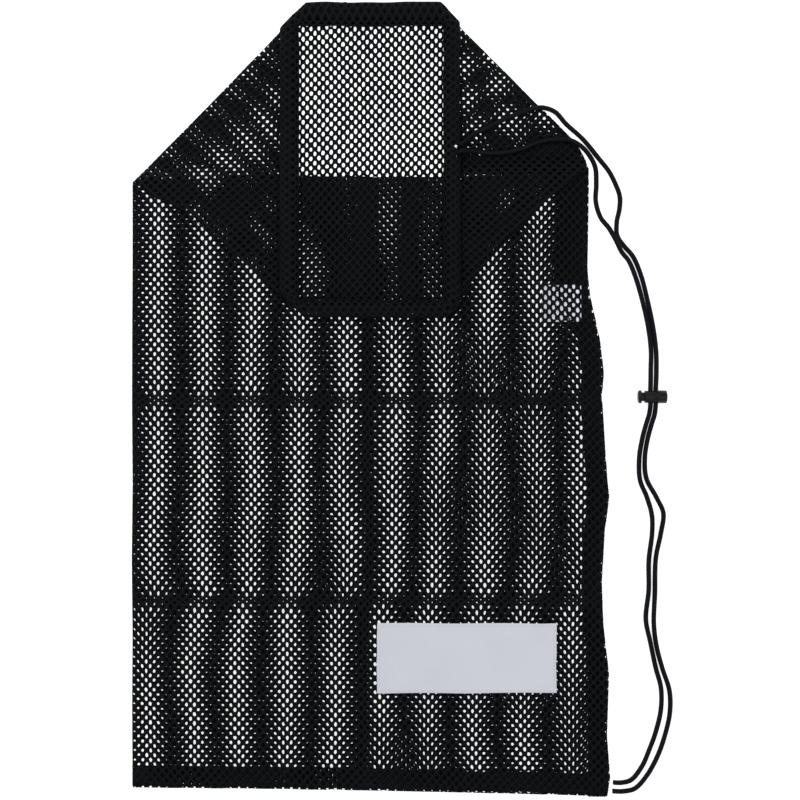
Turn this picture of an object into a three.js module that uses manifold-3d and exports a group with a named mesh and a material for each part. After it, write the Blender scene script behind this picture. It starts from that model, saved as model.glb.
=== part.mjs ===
// Mesh dive gear bag, lying flat with its mouth opened and pressed down over the sack.
// Millimetres. X runs across the bag, Y along it towards the mouth, Z up from the floor.
// The origin is under the middle of the bag's outline.

import * as THREE from 'three';
import { mergeVertices } from 'three/addons/utils/BufferGeometryUtils.js';
import Module from 'manifold-3d';

const wasm = await Module();
wasm.setup();

// Sack
const SACK_WIDTH = 455;
const BODY_LENGTH = 609;
const SIDE_SWELL = 22;
const BOTTOM_DROP = 10;
const NET_THICKNESS = 1;
const LAYER_GAP = 0.7;
const SACK_LOFT = 6.4;
const LEFT_EDGE_LOFT = 2.4;
const RIGHT_EDGE_LOFT = 3.4;
const LOFT_RUN = 45;
const PIECE_GAP = 0.3;

// Mouth frame, where the hem lies
const FLAP_UP = 175;
const FLAP_DOWN = 140;
const MOUTH_FROM_LEFT = 147;
const MOUTH_WIDTH = 180;
const HEM_TOP = 24;
const HEM_BOTTOM = 18;
const HEM_LEFT = 19.5;
const HEM_RIGHT = 17;
const HEM_WALL = 0.8;
const HEM_EDGE_ROUND = 2.5;
const DRAPE_START = 2;
const DRAPE_RUN = 18;
const DRAPE_SHARE = 0.7;
const HEM_DRAPE_RUN = 60;
const FOLD_RADIUS = 1.2;

// Cord and its exit from the hem
const CORD_DIAMETER = 4.8;
const CORD_SIDES = 10;
const CORD_CLEARANCE = 0.8;
const CORD_EXIT_UP = 29.5;
const CORD_EXIT_LENGTH = 17;
const CHANNEL_CORD_STEPS = 52;
const STRAND_STEPS = 76;

// Seam allowances, label and tag
const SEAM_WIDTH = 24;
const SEAM_THICKNESS = 1;
const SEAM_INSET = 3;
const LABEL_WIDTH = 178;
const LABEL_HEIGHT = 67;
const LABEL_THICKNESS = 0.8;
const LABEL_FROM_LEFT = 245;
const LABEL_FROM_BOTTOM = 105;
const LABEL_TURN = 0.015;
const TAG_TOP_WIDTH = 21;
const TAG_END_WIDTH = 39;
const TAG_LENGTH = 37;
const TAG_THICKNESS = 0.45;
const TAG_FROM_CREASE = 107;
const TAG_FROM_RIGHT = 7;

// Cord lock
const LOCK_X = 272.3;
const LOCK_Y = 3.2;
const LOCK_Z = 6.7;
const BARREL_LENGTH = 22.4;
const BARREL_DIAMETER = 12.8;
const BARREL_MID_DIAMETER = 12.1;
const BARREL_WAIST_DIAMETER = 11.4;
const BARREL_WAIST_WIDTH = 1.6;
const BARREL_BEVEL = 1.4;
const BARREL_END_DIAMETER = 7;
const BARREL_LIP = 0.35;
const BARREL_WAIST_FROM = 10.6;
const BARREL_END_WALL = 2.2;
const PLUNGER_DIAMETER = 8.8;
const PLUNGER_HEAD_DIAMETER = 13.2;
const PLUNGER_HEAD_LENGTH = 3.5;
const PLUNGER_HEAD_ROUND = 1.6;
const PLUNGER_FACE_DIAMETER = 9.5;
const PLUNGER_STROKE = 2.5;
const PLUNGER_PROUD = 3.4;
const PLUNGER_END_WALL = 1.8;
const LOCK_HOLE_FROM_END = 3;
const LOCK_CLEARANCE = 0.4;
const LATHE_SIDES = 24;

// Places worked out from the sizes
const LAYER_PITCH = NET_THICKNESS + LAYER_GAP;
const BACK_Z = NET_THICKNESS / 2;
const LEFT_X = -(SACK_WIDTH + SIDE_SWELL) / 2;
const RIGHT_X = LEFT_X + SACK_WIDTH;
const HALF_LENGTH = (FLAP_UP + BODY_LENGTH + BOTTOM_DROP) / 2;
const CREASE_Y = HALF_LENGTH - FLAP_UP;
const HEM_THICKNESS = CORD_DIAMETER + CORD_CLEARANCE * 2 + HEM_WALL * 2;
const FRAME_LEFT = LEFT_X + MOUTH_FROM_LEFT;
const FRAME_RIGHT = FRAME_LEFT + MOUTH_WIDTH;
const FRAME_TOP = HALF_LENGTH;
const FRAME_BOTTOM = CREASE_Y - FLAP_DOWN;
const EXIT_Y = CREASE_Y + CORD_EXIT_UP;
const SEAM_LOW = NET_THICKNESS + PIECE_GAP;
const LOCK_HOLE_WIDTH = CORD_DIAMETER * 2 + LOCK_CLEARANCE * 3;
const LOCK_HOLE_HEIGHT = CORD_DIAMETER + LOCK_CLEARANCE * 2;

// The crease across the bag, as shares of its width and of the length of the mouth flap
const CREASE_LINE = [
  { across: 0, rise: -0.029 },
  { across: 0.36, rise: 0.006 },
  { across: 0.7, rise: 0 },
  { across: 1, rise: 0.046 },
];

// How far the right edge swells out, down the body, as shares of its length and of the swell
const RIGHT_EDGE = [
  { down: 0, out: 0 },
  { down: 0.15, out: -0.05 },
  { down: 0.2, out: 0.12 },
  { down: 0.265, out: 0.53 },
  { down: 0.32, out: 0.71 },
  { down: 0.363, out: 0.6 },
  { down: 0.44, out: 0.76 },
  { down: 0.51, out: 0.95 },
  { down: 0.57, out: 0.75 },
  { down: 0.66, out: 0.59 },
  { down: 0.73, out: 0.68 },
  { down: 0.81, out: 0.95 },
  { down: 0.91, out: 0.84 },
  { down: 0.97, out: 1 },
  { down: 1, out: 0.86 },
];

// Storage folds pressed into the front: one row each, in shares of the body and of the loft
const PRESSED_FOLDS = [
  { along: 'across', at: 0.51, depth: 0.05, half: 0.03 },
  { along: 'down', at: 0.363, depth: 0.08, half: 0.03 },
  { along: 'down', at: 0.69, depth: 0.08, half: 0.03 },
];

// How far each fold line of the mouth bows out from a straight line
const BOWS = { topLeft: -3, topRight: 8, bottomLeft: 14, bottomRight: 17 };

// How far each outer corner of the hem is cut back by its fold
const HEM_CUTS = { topLeft: 26, topRight: 19, bottomLeft: 25, bottomRight: 12 };

// Rows down the body and rings up the mouth flap
const BODY_ROWS = [
  1, 0.97, 0.94, 0.91, 0.86, 0.81, 0.77, 0.73, 0.69, 0.66, 0.615, 0.57, 0.51, 0.44, 0.393,
  0.363, 0.32, 0.265, 0.2, 0.15, 0.08, 0.03,
];
const FLAP_RINGS = [0.03, 0.08, 0.16, 0.3, 0.46, 0.62, 0.77, 0.9, 1];
const ACROSS = [0, 0.035, 0.07, 0.1, 0.2, 0.3, 0.4, 0.51, 0.6, 0.7, 0.8, 0.9, 0.93, 0.965, 1];
const ARC_STEPS = 8;

// The two strands outside the hem, X, Y and Z in millimetres, from the hem to the bottom corner
const UPPER_STRAND = [
  [80, 269, 7.1], [80, 262.5, 8], [83.5, 257.2, 8.7], [89.5, 255.6, 8.6], [95, 259.5, 7.4],
  [102, 265.5, 6], [113.5, 270, 5.7], [126, 277, 5.7], [148, 286, 5.7], [167, 291.5, 5.6],
  [175, 290.8, 5], [184, 287, 3.4], [194, 276, 2.6], [211.5, 260, 2.6], [227.5, 240.5, 2.6],
  [237, 228.5, 2.6], [243.5, 216, 2.6], [248, 203, 2.6], [247.5, 190, 2.6], [245, 178, 2.6],
  [245.5, 164, 2.6], [252.5, 153.5, 2.6], [261, 143.5, 2.6], [269, 125, 2.6], [276.2, 97, 2.6],
  [281.5, 71, 2.6], [284.2, 49, 2.6], [284.4, 30, 3.6], [283.8, 18, 5.9], [283.3, 10.5, 6.7],
  [283.3, -4.5, 6.7], [282.4, -14, 5.6], [279, -26, 3.8], [275.6, -40, 2.6], [273, -58, 2.6],
  [274.5, -78, 2.6], [285, -98, 2.6], [291.5, -113, 2.6], [289, -133, 2.6], [284, -158, 2.6],
  [283, -194, 2.6], [282, -223, 2.6], [284.5, -245, 2.6], [290.5, -268, 2.6], [297.5, -290, 2.6],
  [298, -312, 2.6], [293, -335, 2.6], [285.5, -356, 2.6], [275, -375, 2.6], [263, -388, 2.6],
  [251, -390.8, 2.6], [240.6, -390.6, 2.6],
];
const LOWER_STRAND = [
  [80, 229, 12.5], [80, 236, 11.7], [82, 243.2, 10.8], [88.5, 247.7, 9.9], [97, 248.2, 7.4],
  [106, 247.4, 5.9], [118, 246, 5.7], [134, 247, 5.7], [151, 251, 5.7], [168, 257.5, 5.7],
  [184, 260, 5.7], [198, 259, 5.8], [209.5, 252.8, 5], [218, 243.5, 3], [223.5, 232, 2.6],
  [224.5, 215, 2.6], [224, 198, 2.6], [229, 182, 2.6], [236.5, 172.5, 3], [240.8, 165, 5],
  [244.6, 157.5, 6.4], [249.5, 147.5, 6.2], [256.5, 139, 4.6], [264, 121.5, 3.4],
  [271.2, 96, 3.4], [276.7, 70, 3.8], [279, 49, 3.8], [278.6, 30, 4.8], [278.3, 18, 6.4],
  [278.1, 10.5, 6.7], [278.1, -4.5, 6.7], [276.9, -14, 6.2], [273.4, -26, 4.8], [270.1, -40, 3],
  [267.4, -58, 2.6], [268.2, -80, 2.6], [275, -97, 2.6], [280, -115, 2.6], [280.2, -133, 2.6],
  [277, -160, 2.6], [276.8, -190, 2.6], [274, -219, 2.6], [278.5, -242, 2.6], [284, -268, 2.6],
  [289, -287, 2.6], [289, -309, 2.6], [284, -331, 2.6], [277.5, -349, 2.6], [270, -366, 2.6],
  [259, -379.5, 2.6], [248, -382.2, 2.6], [241.2, -381.8, 2.6],
];

function clamp(value, low, high) {
  return Math.min(high, Math.max(low, value));
}

function mix(a, b, share) {
  return a + (b - a) * share;
}

// Reads one column of a table at a place given by another, in straight steps
function readTable(rows, key, column, at) {
  const last = rows.length - 1;
  if (at <= rows[0][key]) {
    return rows[0][column];
  }
  for (let i = 0; i < last; i += 1) {
    if (at <= rows[i + 1][key]) {
      const share = (at - rows[i][key]) / (rows[i + 1][key] - rows[i][key]);
      return mix(rows[i][column], rows[i + 1][column], share);
    }
  }
  return rows[last][column];
}

function creaseY(across) {
  return CREASE_Y + FLAP_UP * readTable(CREASE_LINE, 'across', 'rise', across);
}

// How far the crease departs from a straight line between its two ends
function creaseBow(across) {
  return creaseY(across) - mix(creaseY(0), creaseY(1), across);
}

function rightX(down) {
  return RIGHT_X + SIDE_SWELL * readTable(RIGHT_EDGE, 'down', 'out', down);
}

function bottomY(across) {
  return -HALF_LENGTH + BOTTOM_DROP * (1 - across * across);
}

// A place on the body of the sack, from shares across and down it
function bodyPlace(across, down) {
  const right = rightX(down);
  const top = creaseY(across);
  return { x: mix(LEFT_X, right, across), y: mix(top, bottomY(across), down), right };
}

// How high the front layer stands over the back layer at a place
function loftAt(x, y) {
  const down = clamp((CREASE_Y - y) / (BODY_LENGTH + BOTTOM_DROP / 2), 0, 1);
  const right = rightX(down);
  const across = clamp((x - LEFT_X) / (right - LEFT_X), 0, 1);
  const fromLeft = mix(LEFT_EDGE_LOFT, SACK_LOFT, clamp((x - LEFT_X) / LOFT_RUN, 0, 1));
  const fromRight = mix(RIGHT_EDGE_LOFT, SACK_LOFT, clamp((right - x) / LOFT_RUN, 0, 1));
  const fromBottom = mix(RIGHT_EDGE_LOFT, SACK_LOFT, clamp((y - bottomY(across)) / LOFT_RUN, 0, 1));
  return Math.min(fromLeft, fromRight, fromBottom);
}

function foldDepth(across, down) {
  let depth = 0;
  for (const fold of PRESSED_FOLDS) {
    const from = Math.abs((fold.along === 'across' ? across : down) - fold.at);
    depth = Math.max(depth, fold.depth * SACK_LOFT * clamp(1 - from / fold.half, 0, 1));
  }
  return depth;
}

function flapZ(x, y) {
  return BACK_Z + loftAt(x, y) + LAYER_PITCH;
}

// The sides of the opened mouth lie low on the back and climb over the crease
function sideZ(x, y, crease, run) {
  const low = BACK_Z + LAYER_PITCH;
  const high = flapZ(x, Math.min(y, crease)) + LAYER_PITCH;
  return mix(high, low, clamp((y - crease - DRAPE_START) / run, 0, 1));
}

// Each point of a ring is a place on the middle of the net and the way towards the inside
function ringPoint(x, y, z, inward) {
  return { place: new THREE.Vector3(x, y, z), inward: new THREE.Vector3(...inward).normalize() };
}

// Room for the round turn of the net at the two side edges
function edgeInset(across) {
  return { 0: LEFT_EDGE_LOFT / 2, 1: -RIGHT_EDGE_LOFT / 2 }[across] ?? 0;
}

// One ring round the flat body, from the tip of the left edge along the back
function bodyRing(down) {
  const back = [];
  const front = [];
  for (const across of ACROSS) {
    const at = bodyPlace(across, down);
    const x = at.x + edgeInset(across);
    const z = BACK_Z + loftAt(at.x, at.y) - foldDepth(across, down);
    back.push(ringPoint(x, at.y, BACK_Z, [0, 0, 1]));
    front.push(ringPoint(x, at.y, z, [0, 0, -1]));
  }
  const left = edgeArc(back[0], front[0], -1);
  const right = edgeArc(back[back.length - 1], front[front.length - 1], 1);
  return { back, front, left, right };
}

// The round turn of the net at a side edge, from the back to the front
function edgeArc(start, end, side) {
  const points = [];
  const radius = (end.place.z - start.place.z) / 2;
  for (let k = 0; k <= ARC_STEPS; k += 1) {
    const angle = (Math.PI * k) / ARC_STEPS;
    const x = mix(start.place.x, end.place.x, k / ARC_STEPS) + side * radius * Math.sin(angle);
    const y = mix(start.place.y, end.place.y, k / ARC_STEPS);
    const z = start.place.z + radius * (1 - Math.cos(angle));
    const inward = new THREE.Vector3(-side * Math.sin(angle), 0, Math.cos(angle));
    points.push({ place: new THREE.Vector3(x, y, z), inward });
  }
  return points;
}

// The ring that turns over the crease, where the front folds back on itself
function creaseRing() {
  const back = [];
  const front = [];
  const turn = LAYER_PITCH / 2;
  for (const across of ACROSS) {
    const at = bodyPlace(across, 0);
    const inset = edgeInset(across);
    const z = BACK_Z + loftAt(at.x, at.y) + turn;
    back.push(ringPoint(at.x + inset, at.y, BACK_Z, [0, 0, 1]));
    front.push(ringPoint(at.x + inset, at.y + turn, z, [0, 1, 0]));
  }
  const left = edgeArc(back[0], front[0], -1);
  const right = edgeArc(back[back.length - 1], front[front.length - 1], 1);
  for (const [points, side] of [[left, -1], [right, 1]]) {
    points.forEach((point, k) => {
      if (k > ARC_STEPS / 2) {
        const angle = (Math.PI * (k - ARC_STEPS / 2)) / ARC_STEPS;
        point.inward.set(-side * Math.cos(angle), Math.sin(angle), 0);
      }
    });
  }
  return { back, front, left, right };
}

const LEFT_RUN = { fromX: LEFT_X, side: 0, toX: FRAME_LEFT - PIECE_GAP };
const RIGHT_RUN = { fromX: RIGHT_X, side: 1, toX: FRAME_RIGHT + PIECE_GAP };
const TO_TOP = FRAME_TOP - HEM_TOP - PIECE_GAP;
const TO_BOTTOM = FRAME_BOTTOM + HEM_BOTTOM + PIECE_GAP;
const CORNERS = {
  topLeft: { ...LEFT_RUN, toY: TO_TOP },
  topRight: { ...RIGHT_RUN, toY: TO_TOP },
  bottomLeft: { ...LEFT_RUN, toY: TO_BOTTOM },
  bottomRight: { ...RIGHT_RUN, toY: TO_BOTTOM },
};

// A corner of the opened mouth, as it runs from the side point of the bag to the hem
function cornerPlace(name, share) {
  const corner = CORNERS[name];
  const bow = 4 * share * (1 - share) * BOWS[name];
  return new THREE.Vector2(
    mix(corner.fromX, corner.toX, share),
    mix(creaseY(corner.side), corner.toY, share) + bow,
  );
}

// A side of the mouth: the turn at its top corner, the run down over the crease, the lower turn
function mouthSide(top, bottom, side, backEnd, frontEnd) {
  const crease = creaseY(clamp((top.x - LEFT_X) / SACK_WIDTH, 0, 1));
  const run = Math.min(DRAPE_RUN, (top.y - crease) * DRAPE_SHARE);
  const start = Math.min(DRAPE_START, (top.y - crease) * (1 - DRAPE_SHARE) * DRAPE_SHARE);
  const stops = [top.y, crease + start + run, crease + start, mix(crease, bottom.y, 0.5), bottom.y];
  const points = [backEnd];
  const sideRun = stops.map((y) => {
    const share = (y - top.y) / (bottom.y - top.y);
    const x = mix(top.x, bottom.x, share);
    return ringPoint(x, y, sideZ(x, y, crease, run), [0, 0, -1]);
  });
  points.push(foldTurn(backEnd, sideRun[0], side, 1));
  points.push(...sideRun);
  points.push(foldTurn(sideRun[sideRun.length - 1], frontEnd, side, -1));
  points.push(frontEnd);
  return points;
}

// The middle of a flat fold between two layers, standing out by half their distance
function foldTurn(a, b, side, up) {
  const out = new THREE.Vector3(side, up, 0).normalize();
  const radius = Math.min(FOLD_RADIUS, Math.abs(b.place.z - a.place.z) / 2);
  const place = a.place.clone().lerp(b.place, 0.5).addScaledVector(out, radius);
  return { place, inward: out.clone().negate() };
}

// One ring of the opened mouth, four sides long
function flapRing(share) {
  const topLeft = cornerPlace('topLeft', share);
  const topRight = cornerPlace('topRight', share);
  const bottomLeft = cornerPlace('bottomLeft', share);
  const bottomRight = cornerPlace('bottomRight', share);
  const back = ACROSS.map((across) => {
    const at = topLeft.clone().lerp(topRight, across);
    return ringPoint(at.x, at.y + (1 - share) * creaseBow(across), BACK_Z, [0, 0, 1]);
  });
  const front = ACROSS.map((across) => {
    const at = bottomLeft.clone().lerp(bottomRight, across);
    const y = at.y + (1 - share) * creaseBow(across);
    return ringPoint(at.x, y, flapZ(at.x, y), [0, 0, 1]);
  });
  const last = ACROSS.length - 1;
  return {
    back,
    front,
    left: mouthSide(topLeft, bottomLeft, -1, back[0], front[0]),
    right: mouthSide(topRight, bottomRight, 1, back[last], front[last]),
  };
}

// Puts the four sides of a ring in one loop: left tip, back, right tip, front
function ringLoop(ring) {
  const half = ARC_STEPS / 2;
  return [
    ...ring.left.slice(1, half + 1).reverse(),
    ...ring.back,
    ...ring.right.slice(1, ARC_STEPS),
    ...ring.front.slice().reverse(),
    ...ring.left.slice(half + 1, ARC_STEPS).reverse(),
  ];
}

// Collects triangles and makes a plain geometry from them
class Faces {
  constructor() {
    this.numbers = [];
  }

  triangle(a, b, c) {
    this.numbers.push(a.x, a.y, a.z, b.x, b.y, b.z, c.x, c.y, c.z);
  }

  quad(a, b, c, d) {
    this.triangle(a, b, c);
    this.triangle(a, c, d);
  }

  geometry() {
    const raw = new THREE.BufferGeometry();
    raw.setAttribute('position', new THREE.Float32BufferAttribute(this.numbers, 3));
    const merged = mergeVertices(raw, 1e-4);
    merged.computeVertexNormals();
    return merged;
  }
}

// Closes the folded end of a ring by joining each point to the one over it
function closeEnd(faces, loop, flip) {
  const count = loop.length;
  for (let i = 0; i < count / 2; i += 1) {
    const a = loop[i];
    const b = loop[i + 1];
    const c = loop[(count - i - 1) % count];
    const d = loop[(count - i) % count];
    if (b !== c) {
      faces.triangle(...(flip ? [c, b, a] : [a, b, c]));
    }
    if (d !== a) {
      faces.triangle(...(flip ? [d, c, a] : [a, c, d]));
    }
  }
}

// The whole net: one layer that goes round the body, turns over the crease and opens out
function sackGeometry() {
  const rings = [
    ...BODY_ROWS.map((down) => bodyRing(down)),
    bodyRing(0.0035),
    creaseRing(),
    ...FLAP_RINGS.map((share) => flapRing(share)),
  ].map((ring) => ringLoop(ring));
  const half = NET_THICKNESS / 2;
  const outer = rings.map((ring) => ring.map((p) => p.place.clone().addScaledVector(p.inward, -half)));
  const inner = rings.map((ring) => ring.map((p) => p.place.clone().addScaledVector(p.inward, half)));
  inner[0].forEach((point) => {
    point.y += NET_THICKNESS;
  });
  const faces = new Faces();
  const count = outer[0].length;
  for (let r = 0; r < rings.length - 1; r += 1) {
    for (let i = 0; i < count; i += 1) {
      const j = (i + 1) % count;
      faces.quad(outer[r][j], outer[r][i], outer[r + 1][i], outer[r + 1][j]);
      faces.quad(inner[r][i], inner[r][j], inner[r + 1][j], inner[r + 1][i]);
    }
  }
  const rim = rings.length - 1;
  for (let i = 0; i < count; i += 1) {
    const j = (i + 1) % count;
    faces.quad(outer[rim][j], outer[rim][i], inner[rim][i], inner[rim][j]);
  }
  closeEnd(faces, outer[0], false);
  closeEnd(faces, inner[0], true);
  return faces.geometry();
}

// The hem is a flat sleeve round the mouth. Its outline is a frame with cut corners.
// Each station holds a point on the frame's outline, one on its opening and the height under it.
function hemHeight(y) {
  const low = NET_THICKNESS + PIECE_GAP;
  const high = BACK_Z + SACK_LOFT + LAYER_PITCH + NET_THICKNESS / 2 + PIECE_GAP;
  return mix(high, low, clamp((y - CREASE_Y - DRAPE_START) / HEM_DRAPE_RUN, 0, 1));
}

// Heights of the stations down a side of the frame, closer where the sleeve climbs the crease
function sideStops(top, bottom, middle) {
  const start = CREASE_Y + DRAPE_START;
  const end = start + HEM_DRAPE_RUN;
  return [
    mix(top, end, 1 / 3),
    mix(top, end, 2 / 3),
    end,
    ...middle,
    start,
    mix(CREASE_Y, bottom, 0.25),
    mix(CREASE_Y, bottom, 0.5),
    mix(CREASE_Y, bottom, 0.75),
  ];
}

function hemStations() {
  const left = { out: FRAME_LEFT, in: FRAME_LEFT + HEM_LEFT };
  const right = { out: FRAME_RIGHT, in: FRAME_RIGHT - HEM_RIGHT };
  const top = { out: FRAME_TOP, in: FRAME_TOP - HEM_TOP };
  const bottom = { out: FRAME_BOTTOM, in: FRAME_BOTTOM + HEM_BOTTOM };
  const overBody = BACK_Z + SACK_LOFT + NET_THICKNESS / 2 + PIECE_GAP;
  const stations = [];
  const add = (outX, outY, inX, inY, base) => stations.push({ outX, outY, inX, inY, base });
  const exit = [EXIT_Y + CORD_EXIT_LENGTH / 2, EXIT_Y - CORD_EXIT_LENGTH / 2];
  const corner = (across, along, cut, signX, signY, turnX, bases) => {
    const endX = across.out + signX * cut;
    const endY = along.out + signY * cut;
    const midX = across.out + (signX * cut) / 2;
    const midY = along.out + (signY * cut) / 2;
    const inX = signX > 0 ? Math.max(endX, across.in) : Math.min(endX, across.in);
    const inY = signY > 0 ? Math.max(endY, along.in) : Math.min(endY, along.in);
    const onSide = [across.out, endY, across.in, inY, bases[0]];
    const middle = [midX, midY, across.in, along.in, Math.max(...bases)];
    const onEnd = [endX, along.out, inX, along.in, bases[1]];
    const order = turnX ? [onEnd, middle, onSide] : [onSide, middle, onEnd];
    order.forEach((values) => add(...values));
  };
  const alongEnd = (from, to, end, base) => {
    for (const share of [0.2, 0.4, 0.6, 0.8]) {
      const x = mix(from, to, share);
      add(x, end.out, x, end.in, base);
    }
  };
  const endLeft = FRAME_LEFT + HEM_CUTS.topLeft;
  const endRight = FRAME_RIGHT - HEM_CUTS.topRight;
  alongEnd(endLeft, endRight, top, 0);
  corner(right, top, HEM_CUTS.topRight, -1, -1, true, [hemHeight(top.out), 0]);
  for (const y of sideStops(top.in, bottom.in, exit)) {
    add(right.out, y, right.in, y, hemHeight(y));
  }
  corner(right, bottom, HEM_CUTS.bottomRight, -1, 1, false, [hemHeight(bottom.out), overBody]);
  alongEnd(FRAME_RIGHT - HEM_CUTS.bottomRight, FRAME_LEFT + HEM_CUTS.bottomLeft, bottom, overBody);
  corner(left, bottom, HEM_CUTS.bottomLeft, 1, 1, true, [hemHeight(bottom.out), overBody]);
  for (const y of sideStops(top.in, bottom.in, [EXIT_Y]).reverse()) {
    add(left.out, y, left.in, y, hemHeight(y));
  }
  corner(left, top, HEM_CUTS.topLeft, 1, -1, false, [hemHeight(top.out), 0]);
  return stations;
}

// The flat oval section of the sleeve at a station, drawn in by a wall for its inner face
function hemSection(station, wall) {
  const outward = new THREE.Vector2(station.outX - station.inX, station.outY - station.inY);
  const a = outward.length() / 2 - wall;
  const b = HEM_THICKNESS / 2 - wall;
  const flat = a - HEM_EDGE_ROUND;
  outward.normalize();
  const middle = hemMiddle(station);
  return [[a, 0], [flat, b], [0, b], [-flat, b], [-a, 0], [-flat, -b], [0, -b], [flat, -b]].map(
    ([u, v]) => new THREE.Vector3(middle.x + outward.x * u, middle.y + outward.y * u, middle.z + v),
  );
}

// The last station above the exit, from which the sleeve's right wall is left open
function exitStation(stations) {
  const top = EXIT_Y + CORD_EXIT_LENGTH / 2;
  return stations.findIndex((at) => at.outX === FRAME_RIGHT && at.outY === top);
}

function hemMiddle(station) {
  return new THREE.Vector3(
    (station.outX + station.inX) / 2,
    (station.outY + station.inY) / 2,
    station.base + HEM_THICKNESS / 2,
  );
}

// The sleeve is open where the cord comes out of its right side
function hemGeometry(stations) {
  const outer = stations.map((station) => hemSection(station, 0));
  const inner = stations.map((station) => hemSection(station, HEM_WALL));
  const exit = exitStation(stations);
  const sides = outer[0].length;
  const isOpen = (i, j) => i === exit && (j === 0 || j === sides - 1);
  const faces = new Faces();
  for (let i = 0; i < stations.length; i += 1) {
    const n = (i + 1) % stations.length;
    for (let j = 0; j < sides; j += 1) {
      const m = (j + 1) % sides;
      const over = [outer[i][j], outer[i][m], outer[n][m], outer[n][j]];
      const under = [inner[i][j], inner[i][m], inner[n][m], inner[n][j]];
      if (!isOpen(i, j)) {
        faces.quad(...over);
        faces.quad(...under.slice().reverse());
      } else {
        const beside = [[i - 1, j], [i, m], [n, j], [i, (j + sides - 1) % sides]];
        beside.forEach(([p, q], edge) => {
          const next = (edge + 1) % 4;
          if (!isOpen(p, q)) {
            faces.quad(over[edge], over[next], under[next], under[edge]);
          }
        });
      }
    }
  }
  return faces.geometry();
}

// A round cord along a smooth curve through its points
function cordGeometry(points, steps) {
  const section = new THREE.Shape();
  section.absarc(0, 0, CORD_DIAMETER / 2, 0, Math.PI * 2, false);
  const curve = new THREE.CatmullRomCurve3(points, false, 'centripetal');
  return new THREE.ExtrudeGeometry(section, {
    steps,
    curveSegments: CORD_SIDES / 2,
    bevelEnabled: false,
    extrudePath: curve,
  });
}

// The cord inside the hem goes once round the mouth, from one side of the exit to the other
function channelCordPoints(stations) {
  const exit = exitStation(stations);
  const upperEnd = new THREE.Vector3(...UPPER_STRAND[0]);
  const lowerEnd = new THREE.Vector3(...LOWER_STRAND[0]);
  upperEnd.y += PIECE_GAP;
  lowerEnd.y -= PIECE_GAP;
  const points = [upperEnd];
  for (let step = 1; step < stations.length - 2; step += 1) {
    const station = stations[(exit - step + stations.length) % stations.length];
    points.push(hemMiddle(station));
  }
  points.push(lowerEnd);
  return points;
}

// A flat strip of even thickness over rows of points, closed all round
function slabGeometry(rows, low, high) {
  const faces = new Faces();
  const at = (i, j, z) => new THREE.Vector3(rows[i][j].x, rows[i][j].y, z);
  const last = rows.length - 1;
  const end = rows[0].length - 1;
  for (let i = 0; i < last; i += 1) {
    for (let j = 0; j < end; j += 1) {
      faces.quad(at(i, j, high), at(i + 1, j, high), at(i + 1, j + 1, high), at(i, j + 1, high));
      faces.quad(at(i, j + 1, low), at(i + 1, j + 1, low), at(i + 1, j, low), at(i, j, low));
    }
    faces.quad(at(i, 0, low), at(i + 1, 0, low), at(i + 1, 0, high), at(i, 0, high));
    faces.quad(at(i + 1, end, low), at(i, end, low), at(i, end, high), at(i + 1, end, high));
  }
  for (let j = 0; j < end; j += 1) {
    faces.quad(at(0, j + 1, low), at(0, j, low), at(0, j, high), at(0, j + 1, high));
    faces.quad(at(last, j, low), at(last, j + 1, low), at(last, j + 1, high), at(last, j, high));
  }
  return faces.geometry();
}

// The sewn edges lie inside the net, along the right side and the bottom
function sideSeamGeometry() {
  const inner = 1 - (SEAM_INSET + SEAM_WIDTH) / (rightX(1) - LEFT_X);
  const lastY = bottomY(inner) + SEAM_INSET + SEAM_WIDTH + PIECE_GAP;
  const stop = (creaseY(1) - lastY) / (creaseY(1) - bottomY(1));
  const downs = [0.04, ...BODY_ROWS.filter((down) => down > 0.04 && down < stop).reverse(), stop];
  const rows = downs.map((down) => {
    const at = bodyPlace(1, down);
    const x = at.right - SEAM_INSET;
    return [{ x: x - SEAM_WIDTH, y: at.y }, { x, y: at.y }];
  });
  return slabGeometry(rows, SEAM_LOW, SEAM_LOW + SEAM_THICKNESS);
}

function bottomSeamGeometry() {
  const right = rightX(1) - SEAM_INSET;
  const rows = ACROSS.map((across) => {
    const x = mix(LEFT_X + SEAM_INSET, right, across);
    const y = bottomY(across) + SEAM_INSET;
    return [{ x, y }, { x, y: y + SEAM_WIDTH }];
  });
  return slabGeometry(rows, SEAM_LOW, SEAM_LOW + SEAM_THICKNESS);
}

function flatGeometry(outline, depth) {
  const shape = new THREE.Shape(outline.map(([x, y]) => new THREE.Vector2(x, y)));
  return new THREE.ExtrudeGeometry(shape, { depth, bevelEnabled: false });
}

function labelGeometry() {
  const outline = [[0, 0], [LABEL_WIDTH, 0], [LABEL_WIDTH, LABEL_HEIGHT], [0, LABEL_HEIGHT]];
  return flatGeometry(outline, LABEL_THICKNESS);
}

// The tag hangs from the side seam and widens towards its free end
function tagGeometry() {
  const slant = (TAG_END_WIDTH - TAG_TOP_WIDTH) / 2;
  const outline = [[0, 0], [TAG_END_WIDTH, 0], [TAG_END_WIDTH - slant, TAG_LENGTH], [slant, TAG_LENGTH]];
  return flatGeometry(outline, TAG_THICKNESS);
}

function solidFrom(geometry) {
  const bare = geometry.clone();
  bare.deleteAttribute('normal');
  bare.deleteAttribute('uv');
  const merged = mergeVertices(bare, 1e-4);
  return new wasm.Manifold(
    new wasm.Mesh({
      numProp: 3,
      vertProperties: new Float32Array(merged.attributes.position.array),
      triVerts: new Uint32Array(merged.index.array),
    }),
  );
}

function geometryFrom(solid) {
  const mesh = solid.getMesh();
  const geometry = new THREE.BufferGeometry();
  geometry.setAttribute('position', new THREE.BufferAttribute(mesh.vertProperties, 3));
  geometry.setIndex(new THREE.BufferAttribute(mesh.triVerts, 1));
  geometry.computeVertexNormals();
  return geometry;
}

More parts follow.
